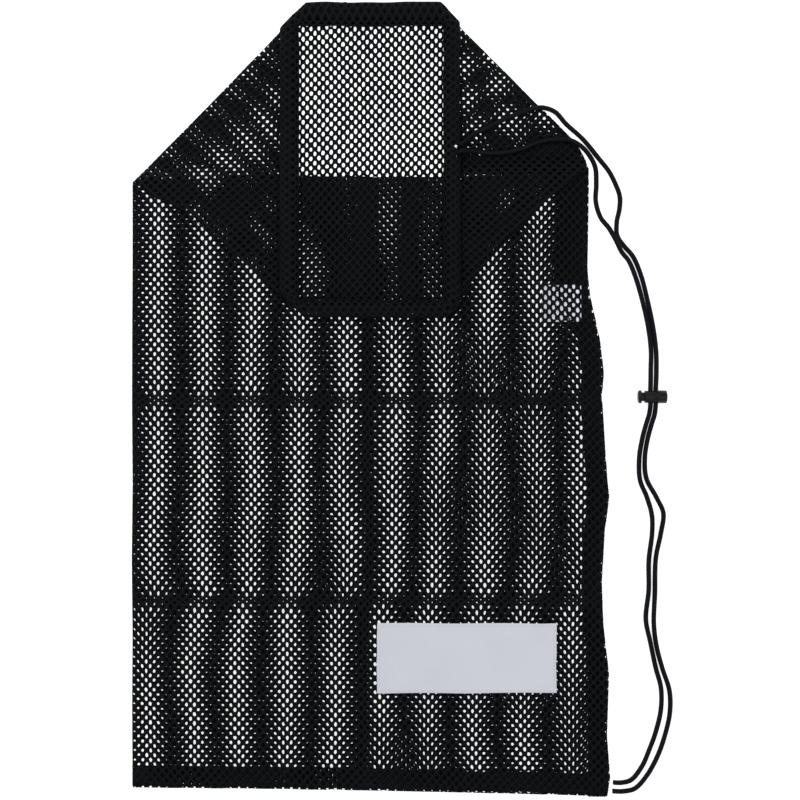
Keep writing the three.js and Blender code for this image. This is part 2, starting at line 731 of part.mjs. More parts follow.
// A turned form along X, from a profile of places along the axis and radii
function turned(profile) {
  const points = profile.map(([along, radius]) => new THREE.Vector2(radius, along));
  return new THREE.LatheGeometry(points, LATHE_SIDES).rotateZ(-Math.PI / 2);
}

// The slot across a lock piece that the two strands pass through, round at both ends
function slotSolid(from, to) {
  const radius = LOCK_HOLE_HEIGHT / 2;
  const shape = new THREE.Shape();
  shape.absarc(from + radius, 0, radius, Math.PI / 2, (3 * Math.PI) / 2, false);
  shape.absarc(to - radius, 0, radius, -Math.PI / 2, Math.PI / 2, false);
  const geometry = new THREE.ExtrudeGeometry(shape, {
    depth: PLUNGER_HEAD_DIAMETER,
    bevelEnabled: false,
    curveSegments: 3,
  });
  return solidFrom(geometry.translate(0, 0, -PLUNGER_HEAD_DIAMETER / 2).rotateX(Math.PI / 2));
}

function barrelGeometry() {
  const bore = PLUNGER_DIAMETER / 2 + PIECE_GAP;
  const big = BARREL_DIAMETER / 2;
  const mid = BARREL_MID_DIAMETER / 2;
  const waist = BARREL_WAIST_DIAMETER / 2;
  const waistEnd = BARREL_WAIST_FROM + BARREL_WAIST_WIDTH;
  const profile = [
    [BARREL_LENGTH - BARREL_END_WALL, 0],
    [BARREL_LENGTH - BARREL_END_WALL, bore],
    [0, bore],
    [0, mid - BARREL_LIP],
    [BARREL_LIP, mid],
    [BARREL_WAIST_FROM, mid],
    [BARREL_WAIST_FROM + BARREL_LIP, waist],
    [waistEnd - BARREL_LIP, waist],
    [waistEnd, big],
    [BARREL_LENGTH - BARREL_BEVEL, big],
    [BARREL_LENGTH, BARREL_END_DIAMETER / 2],
    [BARREL_LENGTH, 0],
  ];
  const slot = slotSolid(LOCK_HOLE_FROM_END, LOCK_HOLE_FROM_END + LOCK_HOLE_WIDTH);
  return geometryFrom(solidFrom(turned(profile)).subtract(slot));
}

function plungerGeometry() {
  const shaft = PLUNGER_DIAMETER / 2;
  const head = PLUNGER_HEAD_DIAMETER / 2;
  const headFrom = -PLUNGER_PROUD - PLUNGER_HEAD_LENGTH;
  const holeEnd = LOCK_HOLE_FROM_END + LOCK_HOLE_WIDTH;
  const profile = [
    [headFrom, 0],
    [headFrom, PLUNGER_FACE_DIAMETER / 2],
    [headFrom + PLUNGER_HEAD_ROUND, head],
    [-PLUNGER_PROUD, head],
    [-PLUNGER_PROUD, shaft],
    [holeEnd + PLUNGER_END_WALL, shaft],
    [holeEnd + PLUNGER_END_WALL, 0],
  ];
  const slot = slotSolid(LOCK_HOLE_FROM_END - PLUNGER_STROKE, holeEnd);
  return geometryFrom(solidFrom(turned(profile)).subtract(slot));
}

function plainMaterial(color, roughness) {
  return new THREE.MeshStandardMaterial({ color, roughness, metalness: 0 });
}

const blackNet = plainMaterial(0x101418, 0.85);
const blackCord = plainMaterial(0x0d0f16, 0.8);
const blackPlastic = plainMaterial(0x0b0d0f, 0.35);
const whiteLabel = plainMaterial(0xe9e7f1, 0.7);

const bag = new THREE.Group();

function addPiece(parent, name, geometry, material, place = [0, 0, 0]) {
  const mesh = new THREE.Mesh(geometry, material);
  mesh.name = name;
  mesh.position.set(...place);
  parent.add(mesh);
  return mesh;
}

const stations = hemStations();
addPiece(bag, 'mesh_sack', sackGeometry(), blackNet);
addPiece(bag, 'mouth_hem', hemGeometry(stations), blackNet);
addPiece(bag, 'side_seam', sideSeamGeometry(), blackNet);
addPiece(bag, 'bottom_seam', bottomSeamGeometry(), blackNet);

const label = addPiece(bag, 'label_patch', labelGeometry(), whiteLabel, [
  LEFT_X + LABEL_FROM_LEFT,
  -HALF_LENGTH + LABEL_FROM_BOTTOM,
  BACK_Z + SACK_LOFT + NET_THICKNESS / 2 + PIECE_GAP,
]);
label.rotation.z = LABEL_TURN;
addPiece(bag, 'side_tag', tagGeometry(), whiteLabel, [
  RIGHT_X - TAG_FROM_RIGHT - TAG_END_WIDTH,
  CREASE_Y - TAG_FROM_CREASE - TAG_LENGTH,
  SEAM_LOW + SEAM_THICKNESS + PIECE_GAP,
]);

const toVectors = (rows) => rows.map((row) => new THREE.Vector3(...row));
addPiece(bag, 'channel_cord', cordGeometry(channelCordPoints(stations), CHANNEL_CORD_STEPS), blackCord);
addPiece(bag, 'draw_cord_upper', cordGeometry(toVectors(UPPER_STRAND), STRAND_STEPS), blackCord);
addPiece(bag, 'draw_cord_lower', cordGeometry(toVectors(LOWER_STRAND), STRAND_STEPS), blackCord);

const lock = new THREE.Group();
lock.position.set(LOCK_X, LOCK_Y, LOCK_Z);
bag.add(lock);
addPiece(lock, 'lock_barrel', barrelGeometry(), blackPlastic);
addPiece(lock, 'lock_plunger', plungerGeometry(), blackPlastic);

export default bag;
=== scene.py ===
"""Mesh dive gear bag, lying flat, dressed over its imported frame.

Sizes in the classes are millimetres in the frame of the part's source: X across the bag, Y along it
towards the mouth, Z up from the floor. They become metres where a mesh is made.
"""

import logging
import math
from dataclasses import dataclass
from enum import Enum
from typing import Callable, Sequence

import bpy
import numpy as np
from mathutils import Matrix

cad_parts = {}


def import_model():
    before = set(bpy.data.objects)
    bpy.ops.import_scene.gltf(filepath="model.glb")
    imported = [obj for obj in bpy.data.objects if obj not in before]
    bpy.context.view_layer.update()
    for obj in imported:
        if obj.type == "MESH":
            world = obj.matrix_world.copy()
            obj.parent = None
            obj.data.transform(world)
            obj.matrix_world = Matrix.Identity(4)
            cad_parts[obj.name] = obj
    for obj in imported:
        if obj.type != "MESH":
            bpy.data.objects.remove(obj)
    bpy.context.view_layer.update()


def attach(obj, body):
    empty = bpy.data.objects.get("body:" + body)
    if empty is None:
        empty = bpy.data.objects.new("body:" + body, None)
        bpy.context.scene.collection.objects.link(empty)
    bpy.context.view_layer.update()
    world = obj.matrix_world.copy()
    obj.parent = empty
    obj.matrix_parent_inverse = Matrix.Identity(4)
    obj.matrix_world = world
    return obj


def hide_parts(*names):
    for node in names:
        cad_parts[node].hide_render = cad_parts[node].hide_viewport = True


LOG = logging.getLogger("gear_bag")
Array = np.ndarray

# A millimetre in metres, how many points are worked on at once, and a least divisor.
MM = 0.001
BATCH = 20000
TINY = 1e-9


# The cords' routes are the CAD's, in metres, from the hem's exit to the bag's bottom corner.
UPPER_ROUTE = (
    (0.08, 0.269, 0.0071), (0.08, 0.2625, 0.008), (0.0835, 0.2572, 0.0087),
    (0.0895, 0.2556, 0.0086), (0.095, 0.2595, 0.0074), (0.102, 0.2655, 0.006),
    (0.1135, 0.27, 0.0057), (0.126, 0.277, 0.0057), (0.148, 0.286, 0.0057),
    (0.167, 0.2915, 0.0056), (0.175, 0.2908, 0.005), (0.184, 0.287, 0.0034),
    (0.194, 0.276, 0.0026), (0.2115, 0.26, 0.0026), (0.2275, 0.2405, 0.0026),
    (0.237, 0.2285, 0.0026), (0.2435, 0.216, 0.0026), (0.248, 0.203, 0.0026),
    (0.2475, 0.19, 0.0026), (0.245, 0.178, 0.0026), (0.2455, 0.164, 0.0026),
    (0.2525, 0.1535, 0.0026), (0.261, 0.1435, 0.0026), (0.269, 0.125, 0.0026),
    (0.2762, 0.097, 0.0026), (0.2815, 0.071, 0.0026), (0.2842, 0.049, 0.0026),
    (0.2844, 0.03, 0.0036), (0.2838, 0.018, 0.0059), (0.2833, 0.0105, 0.0067),
    (0.2833, -0.0045, 0.0067), (0.2824, -0.014, 0.0056), (0.279, -0.026, 0.0038),
    (0.2756, -0.04, 0.0026), (0.273, -0.058, 0.0026), (0.2745, -0.078, 0.0026),
    (0.285, -0.098, 0.0026), (0.2915, -0.113, 0.0026), (0.289, -0.133, 0.0026),
    (0.284, -0.158, 0.0026), (0.283, -0.194, 0.0026), (0.282, -0.223, 0.0026),
    (0.2845, -0.245, 0.0026), (0.2905, -0.268, 0.0026), (0.2975, -0.29, 0.0026),
    (0.298, -0.312, 0.0026), (0.293, -0.335, 0.0026), (0.2855, -0.356, 0.0026),
    (0.275, -0.375, 0.0026), (0.263, -0.388, 0.0026), (0.251, -0.3908, 0.0026),
    (0.2406, -0.3906, 0.0026),
)
LOWER_ROUTE = (
    (0.08, 0.229, 0.0125), (0.08, 0.236, 0.0117), (0.082, 0.2432, 0.0108),
    (0.0885, 0.2477, 0.0099), (0.097, 0.2482, 0.0074), (0.106, 0.2474, 0.0059),
    (0.118, 0.246, 0.0057), (0.134, 0.247, 0.0057), (0.151, 0.251, 0.0057),
    (0.168, 0.2575, 0.0057), (0.184, 0.26, 0.0057), (0.198, 0.259, 0.0058),
    (0.2095, 0.2528, 0.005), (0.218, 0.2435, 0.003), (0.2235, 0.232, 0.0026),
    (0.2245, 0.215, 0.0026), (0.224, 0.198, 0.0026), (0.229, 0.182, 0.0026),
    (0.2365, 0.1725, 0.003), (0.2408, 0.165, 0.005), (0.2446, 0.1575, 0.0064),
    (0.2495, 0.1475, 0.0062), (0.2565, 0.139, 0.0046), (0.264, 0.1215, 0.0034),
    (0.2712, 0.096, 0.0034), (0.2767, 0.07, 0.0038), (0.279, 0.049, 0.0038),
    (0.2786, 0.03, 0.0048), (0.2783, 0.018, 0.0064), (0.2781, 0.0105, 0.0067),
    (0.2781, -0.0045, 0.0067), (0.2769, -0.014, 0.0062), (0.2734, -0.026, 0.0048),
    (0.2701, -0.04, 0.003), (0.2674, -0.058, 0.0026), (0.2682, -0.08, 0.0026),
    (0.275, -0.097, 0.0026), (0.28, -0.115, 0.0026), (0.2802, -0.133, 0.0026),
    (0.277, -0.16, 0.0026), (0.2768, -0.19, 0.0026), (0.274, -0.219, 0.0026),
    (0.2785, -0.242, 0.0026), (0.284, -0.268, 0.0026), (0.289, -0.287, 0.0026),
    (0.289, -0.309, 0.0026), (0.284, -0.331, 0.0026), (0.2775, -0.349, 0.0026),
    (0.27, -0.366, 0.0026), (0.259, -0.3795, 0.0026), (0.248, -0.3822, 0.0026),
    (0.2412, -0.3818, 0.0026),
)


# Shaders


class Value:
    """A shader value that Python's operators combine through Math nodes."""

    def __init__(self, tree: "ShaderTree", link: bpy.types.NodeSocket) -> None:
        """Keeps the tree and the socket that gives the value."""
        self.tree = tree
        self.link = link

    def _join(self, operation: str, first: object, second: object) -> "Value":
        """Adds one Math node.

        Args:
            operation: The Math node's operation.
            first: Its first value, a number or a Value.
            second: Its second value, a number or a Value.

        Returns:
            The new value.
        """
        return self.tree.node("ShaderNodeMath", {"operation": operation}, {0: first, 1: second})

    def __add__(self, other: object) -> "Value":
        """Sum."""
        return self._join("ADD", self, other)

    def __radd__(self, other: object) -> "Value":
        """Sum, reflected."""
        return self._join("ADD", other, self)

    def __sub__(self, other: object) -> "Value":
        """Difference."""
        return self._join("SUBTRACT", self, other)

    def __rsub__(self, other: object) -> "Value":
        """Difference, reflected."""
        return self._join("SUBTRACT", other, self)

    def __mul__(self, other: object) -> "Value":
        """Product."""
        return self._join("MULTIPLY", self, other)

    def __rmul__(self, other: object) -> "Value":
        """Product, reflected."""
        return self._join("MULTIPLY", other, self)


class ShaderTree:
    """The nodes of one material."""

    def __init__(self, name: str) -> None:
        """Makes an empty material with a Principled shader."""
        self.material = bpy.data.materials.new(name)
        self.material.use_nodes = True
        self.nodes = self.material.node_tree.nodes
        self.links = self.material.node_tree.links
        self.shader = self.nodes["Principled BSDF"]

    def node(
        self,
        kind: str,
        settings: dict[str, object] | None = None,
        inputs: dict[object, object] | None = None,
        output: int | str = 0,
    ) -> Value:
        """Adds a node, sets it up and gives one of its outputs.

        Args:
            kind: The node's type name.
            settings: Its own settings; "stops" holds a colour ramp's places and colours.
            inputs: Values or links for its sockets.
            output: The socket that is given back.

        Returns:
            The chosen output.
        """
        made = self.nodes.new(kind)
        for key, setting in (settings or {}).items():
            if key == "stops":
                self._ramp(made, setting)
            else:
                setattr(made, key, setting)
        for socket, value in (inputs or {}).items():
            self._feed(made.inputs[socket], value)
        return Value(self, made.outputs[output])

    @staticmethod
    def _ramp(made: bpy.types.Node, stops: Sequence[tuple[float, tuple[float, ...]]]) -> None:
        """Puts stops on a colour ramp.

        Args:
            made: The ramp's node.
            stops: The place and the colour of each stop.
        """
        elements = made.color_ramp.elements
        while len(elements) < len(stops):
            elements.new(0.5)
        for element, (place, colour) in zip(elements, stops):
            element.position = place
            element.color = colour

    def _feed(self, socket: bpy.types.NodeSocket, value: object) -> None:
        """Links a Value to a socket, or sets a plain number or colour on it.

        Args:
            socket: The socket that is fed.
            value: What it is fed.
        """
        if isinstance(value, Value):
            self.links.new(value.link, socket)
        else:
            socket.default_value = value

    def set(self, socket: str, value: object) -> None:
        """Feeds one socket of the Principled shader."""
        self._feed(self.shader.inputs[socket], value)

    def place(self) -> Value:
        """Object coordinates."""
        return self.node("ShaderNodeTexCoord", output="Object")

    def noise(self, vector: Value, scale: float, detail: float = 2.0) -> Value:
        """Noise from 0 to 1 at a scale in repeats a metre."""
        return self.node(
            "ShaderNodeTexNoise", inputs={"Vector": vector, "Scale": scale, "Detail": detail}
        )

    def bump(self, height: Value, strength: float, distance: float) -> None:
        """Feeds a Bump node to the shader's normal.

        Args:
            height: The relief, from 0 to 1.
            strength: The node's strength.
            distance: The relief's depth in metres.
        """
        made = self.node(
            "ShaderNodeBump",
            inputs={"Height": height, "Strength": strength, "Distance": distance},
        )
        self.set("Normal", made)

    def tint(self, share: Value, dark: Sequence[float], light: Sequence[float]) -> None:
        """Mixes two colours by a share and feeds Base Color."""
        ramp = {"stops": [(0.0, (*dark, 1.0)), (1.0, (*light, 1.0))]}
        self.set("Base Color", self.node("ShaderNodeValToRGB", ramp, {"Fac": share}))


@dataclass(frozen=True)
class NetFinish:
    """Black polyester yarn of the knitted net, with little gloss."""

    dark: tuple[float, float, float] = (0.0018, 0.0026, 0.0034)
    light: tuple[float, float, float] = (0.0082, 0.0112, 0.0142)
    roughness: float = 0.66
    specular: float = 0.1
    filament_scale: float = 2600.0
    cloud_scale: float = 14.0
    streak_scale: float = 520.0
    relief_depth: float = 0.0002

    def build(self, name: str) -> bpy.types.Material:
        """Makes the material: filament streaks on a slant, fine noise and broad clouds.

        Args:
            name: The material's name.

        Returns:
            The material.
        """
        tree = ShaderTree(name)
        place = tree.place()
        fine = tree.noise(place, self.filament_scale, 3.0)
        broad = tree.noise(place, self.cloud_scale, 3.0)
        streak = tree.node(
            "ShaderNodeTexWave",
            {"wave_type": "BANDS", "bands_direction": "DIAGONAL"},
            {"Vector": place, "Scale": self.streak_scale, "Distortion": 3.0, "Detail": 1.0},
            output="Fac",
        )
        share = fine * 0.45 + streak * 0.25 + broad * 0.3
        tree.tint(share, self.dark, self.light)
        tree.set("Roughness", self.roughness + fine * 0.2 - 0.1)
        tree.set("Specular IOR Level", self.specular)
        tree.bump(fine * 0.6 + streak * 0.4, 0.5, self.relief_depth)
        return tree.material


@dataclass(frozen=True)
class BraidFinish:
    """Black braided cord; the braid's relief is in the mesh, and in an attribute that paints its
    shade.
    """

    dark: tuple[float, float, float] = (0.002, 0.002, 0.004)
    light: tuple[float, float, float] = (0.0050, 0.0056, 0.0088)
    roughness: float = 0.6
    specular: float = 0.12
    yarn_scale: float = 3200.0
    relief_depth: float = 0.0002

    def build(self, name: str) -> bpy.types.Material:
        """Makes the material: painted shade in the valleys between the strands, fine yarn noise.

        Args:
            name: The material's name.

        Returns:
            The material.
        """
        tree = ShaderTree(name)
        place = tree.place()
        fine = tree.noise(place, self.yarn_scale)
        relief = tree.node("ShaderNodeAttribute", {"attribute_name": "relief"}, output="Fac")
        # painted shade: the relief attribute colours the braid's valleys darker than its ridges
        tree.tint(relief * 0.75 + fine * 0.25, self.dark, self.light)
        tree.set("Roughness", self.roughness + fine * 0.2 - 0.1)
        tree.set("Specular IOR Level", self.specular)
        tree.bump(fine, 0.4, self.relief_depth)
        return tree.material


@dataclass(frozen=True)
class PlasticFinish:
    """Moulded black plastic of the cord lock."""

    colour: tuple[float, float, float] = (0.0030, 0.0034, 0.0042)
    roughness: float = 0.42
    specular: float = 0.28
    grain_scale: float = 3500.0
    scuff_scale: float = 260.0
    scuff_light: float = 2.2
    grain_depth: float = 0.0001

    def build(self, name: str) -> bpy.types.Material:
        """Makes the material: fine mould grain, faint scuffs and a satin gloss.

        Args:
            name: The material's name.

        Returns:
            The material.
        """
        tree = ShaderTree(name)
        place = tree.place()
        grain = tree.noise(place, self.grain_scale)
        scuff = tree.noise(place, self.scuff_scale, 5.0)
        lighter = tuple(part * self.scuff_light for part in self.colour)
        tree.tint(scuff, self.colour, lighter)
        tree.set("Roughness", self.roughness + scuff * 0.18 - 0.06)
        tree.set("Specular IOR Level", self.specular)
        tree.bump(grain, 0.15, self.grain_depth)
        return tree.material


@dataclass(frozen=True)
class WovenFinish:
    """White woven cloth of the label or the tag. Its glow stands for light through it."""

    colour: tuple[float, float, float] = (0.81, 0.835, 0.925)
    roughness: float = 0.72
    weave_scale: float = 520.0
    slub_scale: float = 900.0
    cloud_scale: float = 22.0
    darkest: float = 0.84
    lightest: float = 1.12
    relief_depth: float = 0.0002
    glow: float = 0.0

    def build(self, name: str) -> bpy.types.Material:
        """Makes the material: crossing warp and weft bands, slub noise and faint shading.

        Args:
            name: The material's name.

        Returns:
            The material.
        """
        tree = ShaderTree(name)
        place = tree.place()
        bands = []
        for direction in ("X", "Y"):
            bands.append(
                tree.node(
                    "ShaderNodeTexWave",
                    {"wave_type": "BANDS", "bands_direction": direction},
                    {"Vector": place, "Scale": self.weave_scale, "Distortion": 0.6},
                    output="Fac",
                )
            )
        slub = tree.noise(place, self.slub_scale, 3.0)
        cloud = tree.noise(place, self.cloud_scale, 3.0)
        share = bands[0] * 0.2 + bands[1] * 0.2 + slub * 0.25 + cloud * 0.35
        darker = tuple(part * self.darkest for part in self.colour)
        lighter = tuple(min(1.0, part * self.lightest) for part in self.colour)
        tree.tint(share, darker, lighter)
        tree.set("Roughness", self.roughness + slub * 0.1)
        tree.set("Emission Color", (0.9, 0.9, 1.0, 1.0))
        tree.set("Emission Strength", self.glow)
        tree.bump(bands[0] * 0.5 + bands[1] * 0.5 + slub * 0.3, 0.35, self.relief_depth)
        return tree.material


@dataclass(frozen=True)
class FloorFinish:
    """The plain white sweep under the bag."""

    glow: float = 0.74

    def build(self, name: str) -> bpy.types.Material:
        """Makes the material: matte white with light of its own.

        Args:
            name: The material's name.

        Returns:
            The material.
        """
        tree = ShaderTree(name)
        tree.set("Base Color", (0.93, 0.93, 0.95, 1.0))
        tree.set("Roughness", 0.9)
        tree.set("Specular IOR Level", 0.0)
        tree.set("Emission Color", (1.0, 1.0, 1.0, 1.0))
        tree.set("Emission Strength", self.glow)
        return tree.material


# Meshes


def make_piece(
    name: str,
    points: Array,
    faces: Array | Sequence[Array],
    material: bpy.types.Material,
    smooth: bool = True,
    body: str = "bag",
) -> bpy.types.Object:
    """Makes an object from arrays and lets it ride on a body.

    Args:
        name: The piece's name.
        points: Its corners in millimetres, one row each.
        faces: One array of faces, or several with different numbers of corners.
        material: Its finish.
        smooth: Whether its faces are shaded smooth.
        body: The body it rides on.

    Returns:
        The new object.
    """
    groups = [faces] if isinstance(faces, np.ndarray) else list(faces)
    corners = np.concatenate([group.ravel() for group in groups]).astype(np.int32)
    sizes = np.concatenate([np.full(len(group), group.shape[1]) for group in groups])
    starts = np.concatenate([[0], np.cumsum(sizes)[:-1]]).astype(np.int32)
    mesh = bpy.data.meshes.new(name)
    mesh.vertices.add(len(points))
    mesh.vertices.foreach_set("co", (points * MM).astype(np.float32).ravel())
    mesh.loops.add(len(corners))
    mesh.loops.foreach_set("vertex_index", corners)
    mesh.polygons.add(len(sizes))
    mesh.polygons.foreach_set("loop_start", starts)
    mesh.polygons.foreach_set("use_smooth", np.full(len(sizes), smooth))
    mesh.materials.append(material)
    mesh.update(calc_edges=True)
    mesh.validate()
    piece = bpy.data.objects.new(name, mesh)
    bpy.context.scene.collection.objects.link(piece)
    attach(piece, body)
    return piece


def grid_faces(rows: int, columns: int, closed: bool = False) -> Array:
    """Four-cornered faces over a grid of points, row by row.

    Args:
        rows: How many rows of points there are.
        columns: How many points a row has.
        closed: Whether each row's last point joins its first.

    Returns:
        One row of four point numbers for each face.
    """
    i = np.arange(rows - 1)[:, None] * columns
    j = np.arange(columns if closed else columns - 1)[None, :]
    n = (j + 1) % columns
    quads = np.stack([i + j, i + n, i + columns + n, i + columns + j], axis=-1)
    return quads.reshape(-1, 4)


def smooth_step(share: Array) -> Array:
    """3 s^2 - 2 s^3, with s held between 0 and 1."""
    s = np.clip(share, 0.0, 1.0)
    return s * s * (3.0 - 2.0 * s)


def nearest_on(points: Array, line: Array) -> tuple[Array, Array]:
    """Nearest places on an open line of straight stretches.

    Args:
        points: Places in the plane.
        line: The line's corners.

    Returns:
        The nearest place to each point, and how far off it is.
    """
    start, step = line[:-1], np.diff(line, axis=0)
    length = np.maximum((step**2).sum(axis=1), TINY)
    feet, gaps = [], []
    for part in np.array_split(points, max(1, len(points) // BATCH)):
        offset = part[:, None, :] - start[None]
        share = np.clip((offset * step[None]).sum(axis=2) / length, 0.0, 1.0)
        foot = start[None] + share[..., None] * step[None]
        gap = np.linalg.norm(part[:, None, :] - foot, axis=2)
        best = gap.argmin(axis=1)
        rows = np.arange(len(part))
        feet.append(foot[rows, best])
        gaps.append(gap[rows, best])
    return np.concatenate(feet), np.concatenate(gaps)


def inside(points: Array, outline: Array) -> Array:
    """Whether each point is inside a closed outline.

    A point is inside where the edges to its right at its own height are odd in number.

    Args:
        points: Places in the plane.
        outline: The outline's corners, the first one repeated at the end.

    Returns:
        True or False for each point.
    """
    x0, y0 = outline[:-1].T
    x1, y1 = outline[1:].T
    hits = []
    for part in np.array_split(points, max(1, len(points) // BATCH)):
        x, y = part[:, :1], part[:, 1:]
        spans = (y0 > y) != (y1 > y)
        rise = np.where(y1 == y0, TINY, y1 - y0)
        hits.append((spans & (x < (x1 - x0) * (y - y0) / rise + x0)).sum(axis=1) % 2 == 1)
    return np.concatenate(hits)


def waves(x: Array, y: Array, seed: int, length: float, count: int = 5) -> Array:
    """A soft uneven surface between about -1 and 1.

    It is a sum of sines whose directions, phases and lengths, 0.7 to 1.5 times the one given,
    are drawn from the seed, over the square root of their number.

    Args:
        x: Places across the bag.
        y: Places along it.
        seed: Where the draws start.
        length: The waves' length in millimetres.
        count: How many sines there are.

    Returns:
        The surface's value at each place.
    """
    rng = np.random.default_rng(seed)
    total = np.zeros_like(x)
    for _ in range(count):
        angle, phase = rng.uniform(0.0, 2.0 * math.pi, 2)
        k = 2.0 * math.pi / (length * rng.uniform(0.7, 1.5))
        total += np.sin(k * (x * math.cos(angle) + y * math.sin(angle)) + phase)
    return total / math.sqrt(count)


# Layout of the folded bag

# Where the pressed creases lie, how high the lowest layer's middle is, and how far it is from
# one layer's middle to the next one's.
CREASES_ACROSS = (0.0, -200.0)
CREASE_ALONG = -4.5
FLOOR_GAP = 0.65
LAYER_STEP = 1.6

HOLE_SPREAD = 0.07
SEAM_SHARE = 0.74
LEAST_SHARE = 0.305


class Layer(Enum):
    """The flat layers of the net, from the floor up."""

    BACK = "back"
    MOUTH = "mouth"
    FRONT = "front"
    FLAP = "flap"
    SIDE = "side"


@dataclass(frozen=True)
class Layout:
    """Outlines of the flat bag from above, and how high each layer lies."""

    left: float = -238.5
    crease: tuple[tuple[float, float], ...] = (
        (-238.5, 217.0),
        (-150.0, 221.5),
        (-74.7, 223.0),
        (80.0, 222.0),
        (150.0, 226.5),
        (216.5, 230.0),
    )
    right_edge: tuple[tuple[float, float], ...] = (
        (216.5, 230.0),
        (217.0, 214.0),
        (216.3, 170.0),
        (215.5, 131.0),
        (218.5, 103.0),
        (228.2, 60.0),
        (232.0, 27.0),
        (230.0, 5.0),
        (235.5, -80.0),
        (237.6, -97.0),
        (233.0, -129.0),
        (230.0, -182.0),
        (231.4, -223.0),
        (237.2, -274.0),
        (235.0, -335.0),
        (238.3, -376.0),
        (235.5, -396.0),
    )
    bottom_edge: tuple[tuple[float, float], ...] = (
        (235.5, -396.0),
        (180.0, -394.0),
        (90.0, -392.0),
        (0.0, -390.0),
        (-120.0, -388.0),
        (-238.5, -387.0),
    )
    upper_left: tuple[tuple[float, float], ...] = (
        (-238.5, 217.0),
        (-234.5, 221.0),
        (-160.0, 296.5),
        (-91.8, 367.0),
        (-86.0, 373.0),
    )
    upper_right: tuple[tuple[float, float], ...] = (
        (83.0, 378.0),
        (88.8, 372.0),
        (125.0, 336.0),
        (166.0, 294.5),
        (178.5, 283.0),
        (205.0, 256.0),
        (213.5, 240.0),
        (216.5, 230.0),
    )
    lower_left: tuple[tuple[float, float], ...] = (
        (-238.5, 217.0),
        (-228.5, 213.0),
        (-218.5, 203.0),
        (-185.0, 188.0),
        (-161.5, 165.0),
        (-145.5, 154.5),
        (-91.8, 104.5),
        (-84.0, 98.0),
    )
    lower_right: tuple[tuple[float, float], ...] = (
        (83.0, 98.0),
        (91.0, 106.0),
        (133.0, 160.0),
        (172.0, 197.0),
        (190.0, 211.0),
        (205.0, 223.0),
        (216.5, 230.0),
    )
    frame_left: float = -91.5
    frame_right: float = 88.5
    loft: float = 5.4
    low_left: float = 1.3
    low_right: float = 3.7
    low_bottom: float = 2.6
    crown: float = 45.0
    dent: float = 0.6
    dent_width: float = 6.0
    least: float = 1.2
    side_low: float = 2.25

    def line(self, name: str) -> Array:
        """One of the outlines as an array."""
        return np.array(getattr(self, name))

    def outline(self, layer: Layer, right_side: bool = False) -> Array:
        """The closed outline of a layer.

        Args:
            layer: Which layer.
            right_side: For a side of the opened mouth, whether it is the right one.

        Returns:
            The outline's corners, the first one repeated at the end.
        """
        crease = self.line("crease")
        left_down = np.array([(self.left - 0.4, y) for y in np.linspace(-387.0, 217.0, 9)])
        left_down[:, 0] += 0.5 * np.sin(left_down[:, 1] * 0.05)
        left_down[0, 0] = left_down[-1, 0] = self.left
        lower = [self.line("right_edge"), self.line("bottom_edge"), left_down]
        if layer is Layer.MOUTH:
            parts = [self.line("upper_left"), self.line("upper_right"), crease[::-1]]
        elif layer in (Layer.BACK, Layer.FRONT):
            parts = [crease, *lower]
        elif layer is Layer.FLAP:
            parts = [self.line("lower_left"), self.line("lower_right"), crease[::-1]]
        elif right_side:
            edge = np.array([(self.frame_right - 3.0, 98.0), (self.frame_right - 3.0, 378.0)])
            parts = [self.line("upper_right")[1:], self.line("lower_right")[::-1][:-1], edge]
        else:
            edge = np.array([(self.frame_left + 3.0, 373.0), (self.frame_left + 3.0, 98.0)])
            parts = [self.line("upper_left")[:-1], edge, self.line("lower_left")[::-1][1:]]
        corners = np.concatenate(parts)
        return np.concatenate([corners, corners[:1]])

    def right_at(self, y: Array) -> Array:
        """How far right the body reaches at a height on the plan."""
        edge = self.line("right_edge")[::-1]
        return np.interp(y, edge[:, 1], edge[:, 0])

    def crease_at(self, x: Array) -> Array:
        """Where the crease lies across the bag."""
        crease = self.line("crease")
        return np.interp(x, crease[:, 0], crease[:, 1])

    def back(self, x: Array, y: Array) -> Array:
        """Height of the back layer: flat on the floor."""
        return FLOOR_GAP + 0.12 * waves(x, y, 3, 90.0) ** 2

    def front(self, x: Array, y: Array) -> Array:
        """Height of the front layer.

        It is a low crown that comes down at the left, the right and the bottom edge, a little
        uneven, with a dent along each pressed crease.

        Args:
            x: Places across the bag.
            y: Places along it.

        Returns:
            The height at each place.
        """
        edge = self.line("bottom_edge")[::-1]
        bottom = np.interp(x, edge[:, 0], edge[:, 1])
        lift = np.full_like(x, self.loft)
        for low, way in (
            (self.low_left, x - self.left),
            (self.low_right, self.right_at(y) - x),
            (self.low_bottom, y - bottom),
        ):
            lift = np.minimum(lift, low + (self.loft - low) * smooth_step(way / self.crown))
        lift = lift + 0.3 * waves(x, y, 5, 120.0) * smooth_step((x - self.left) / 60.0)
        for place, value in ((y, CREASES_ACROSS[0]), (y, CREASES_ACROSS[1]), (x, CREASE_ALONG)):
            lift = lift - self.dent * np.exp(-(((place - value) / self.dent_width) ** 2))
        return FLOOR_GAP + np.maximum(lift, self.least)

    def flap(self, x: Array, y: Array) -> Array:
        """Height of the mouth flap that is folded down over the front."""
        return self.front(x, np.minimum(y, self.crease_at(x))) + LAYER_STEP

    def side(self, x: Array, y: Array) -> Array:
        """Height of a side of the mouth: low on the back, high over the crease and the flap.

        Args:
            x: Places across the bag.
            y: Places along it.

        Returns:
            The height at each place.
        """
        crease = self.crease_at(x)
        high = self.flap(x, y) + LAYER_STEP
        return high + (self.side_low - high) * smooth_step((y - crease - 2.0) / 18.0)

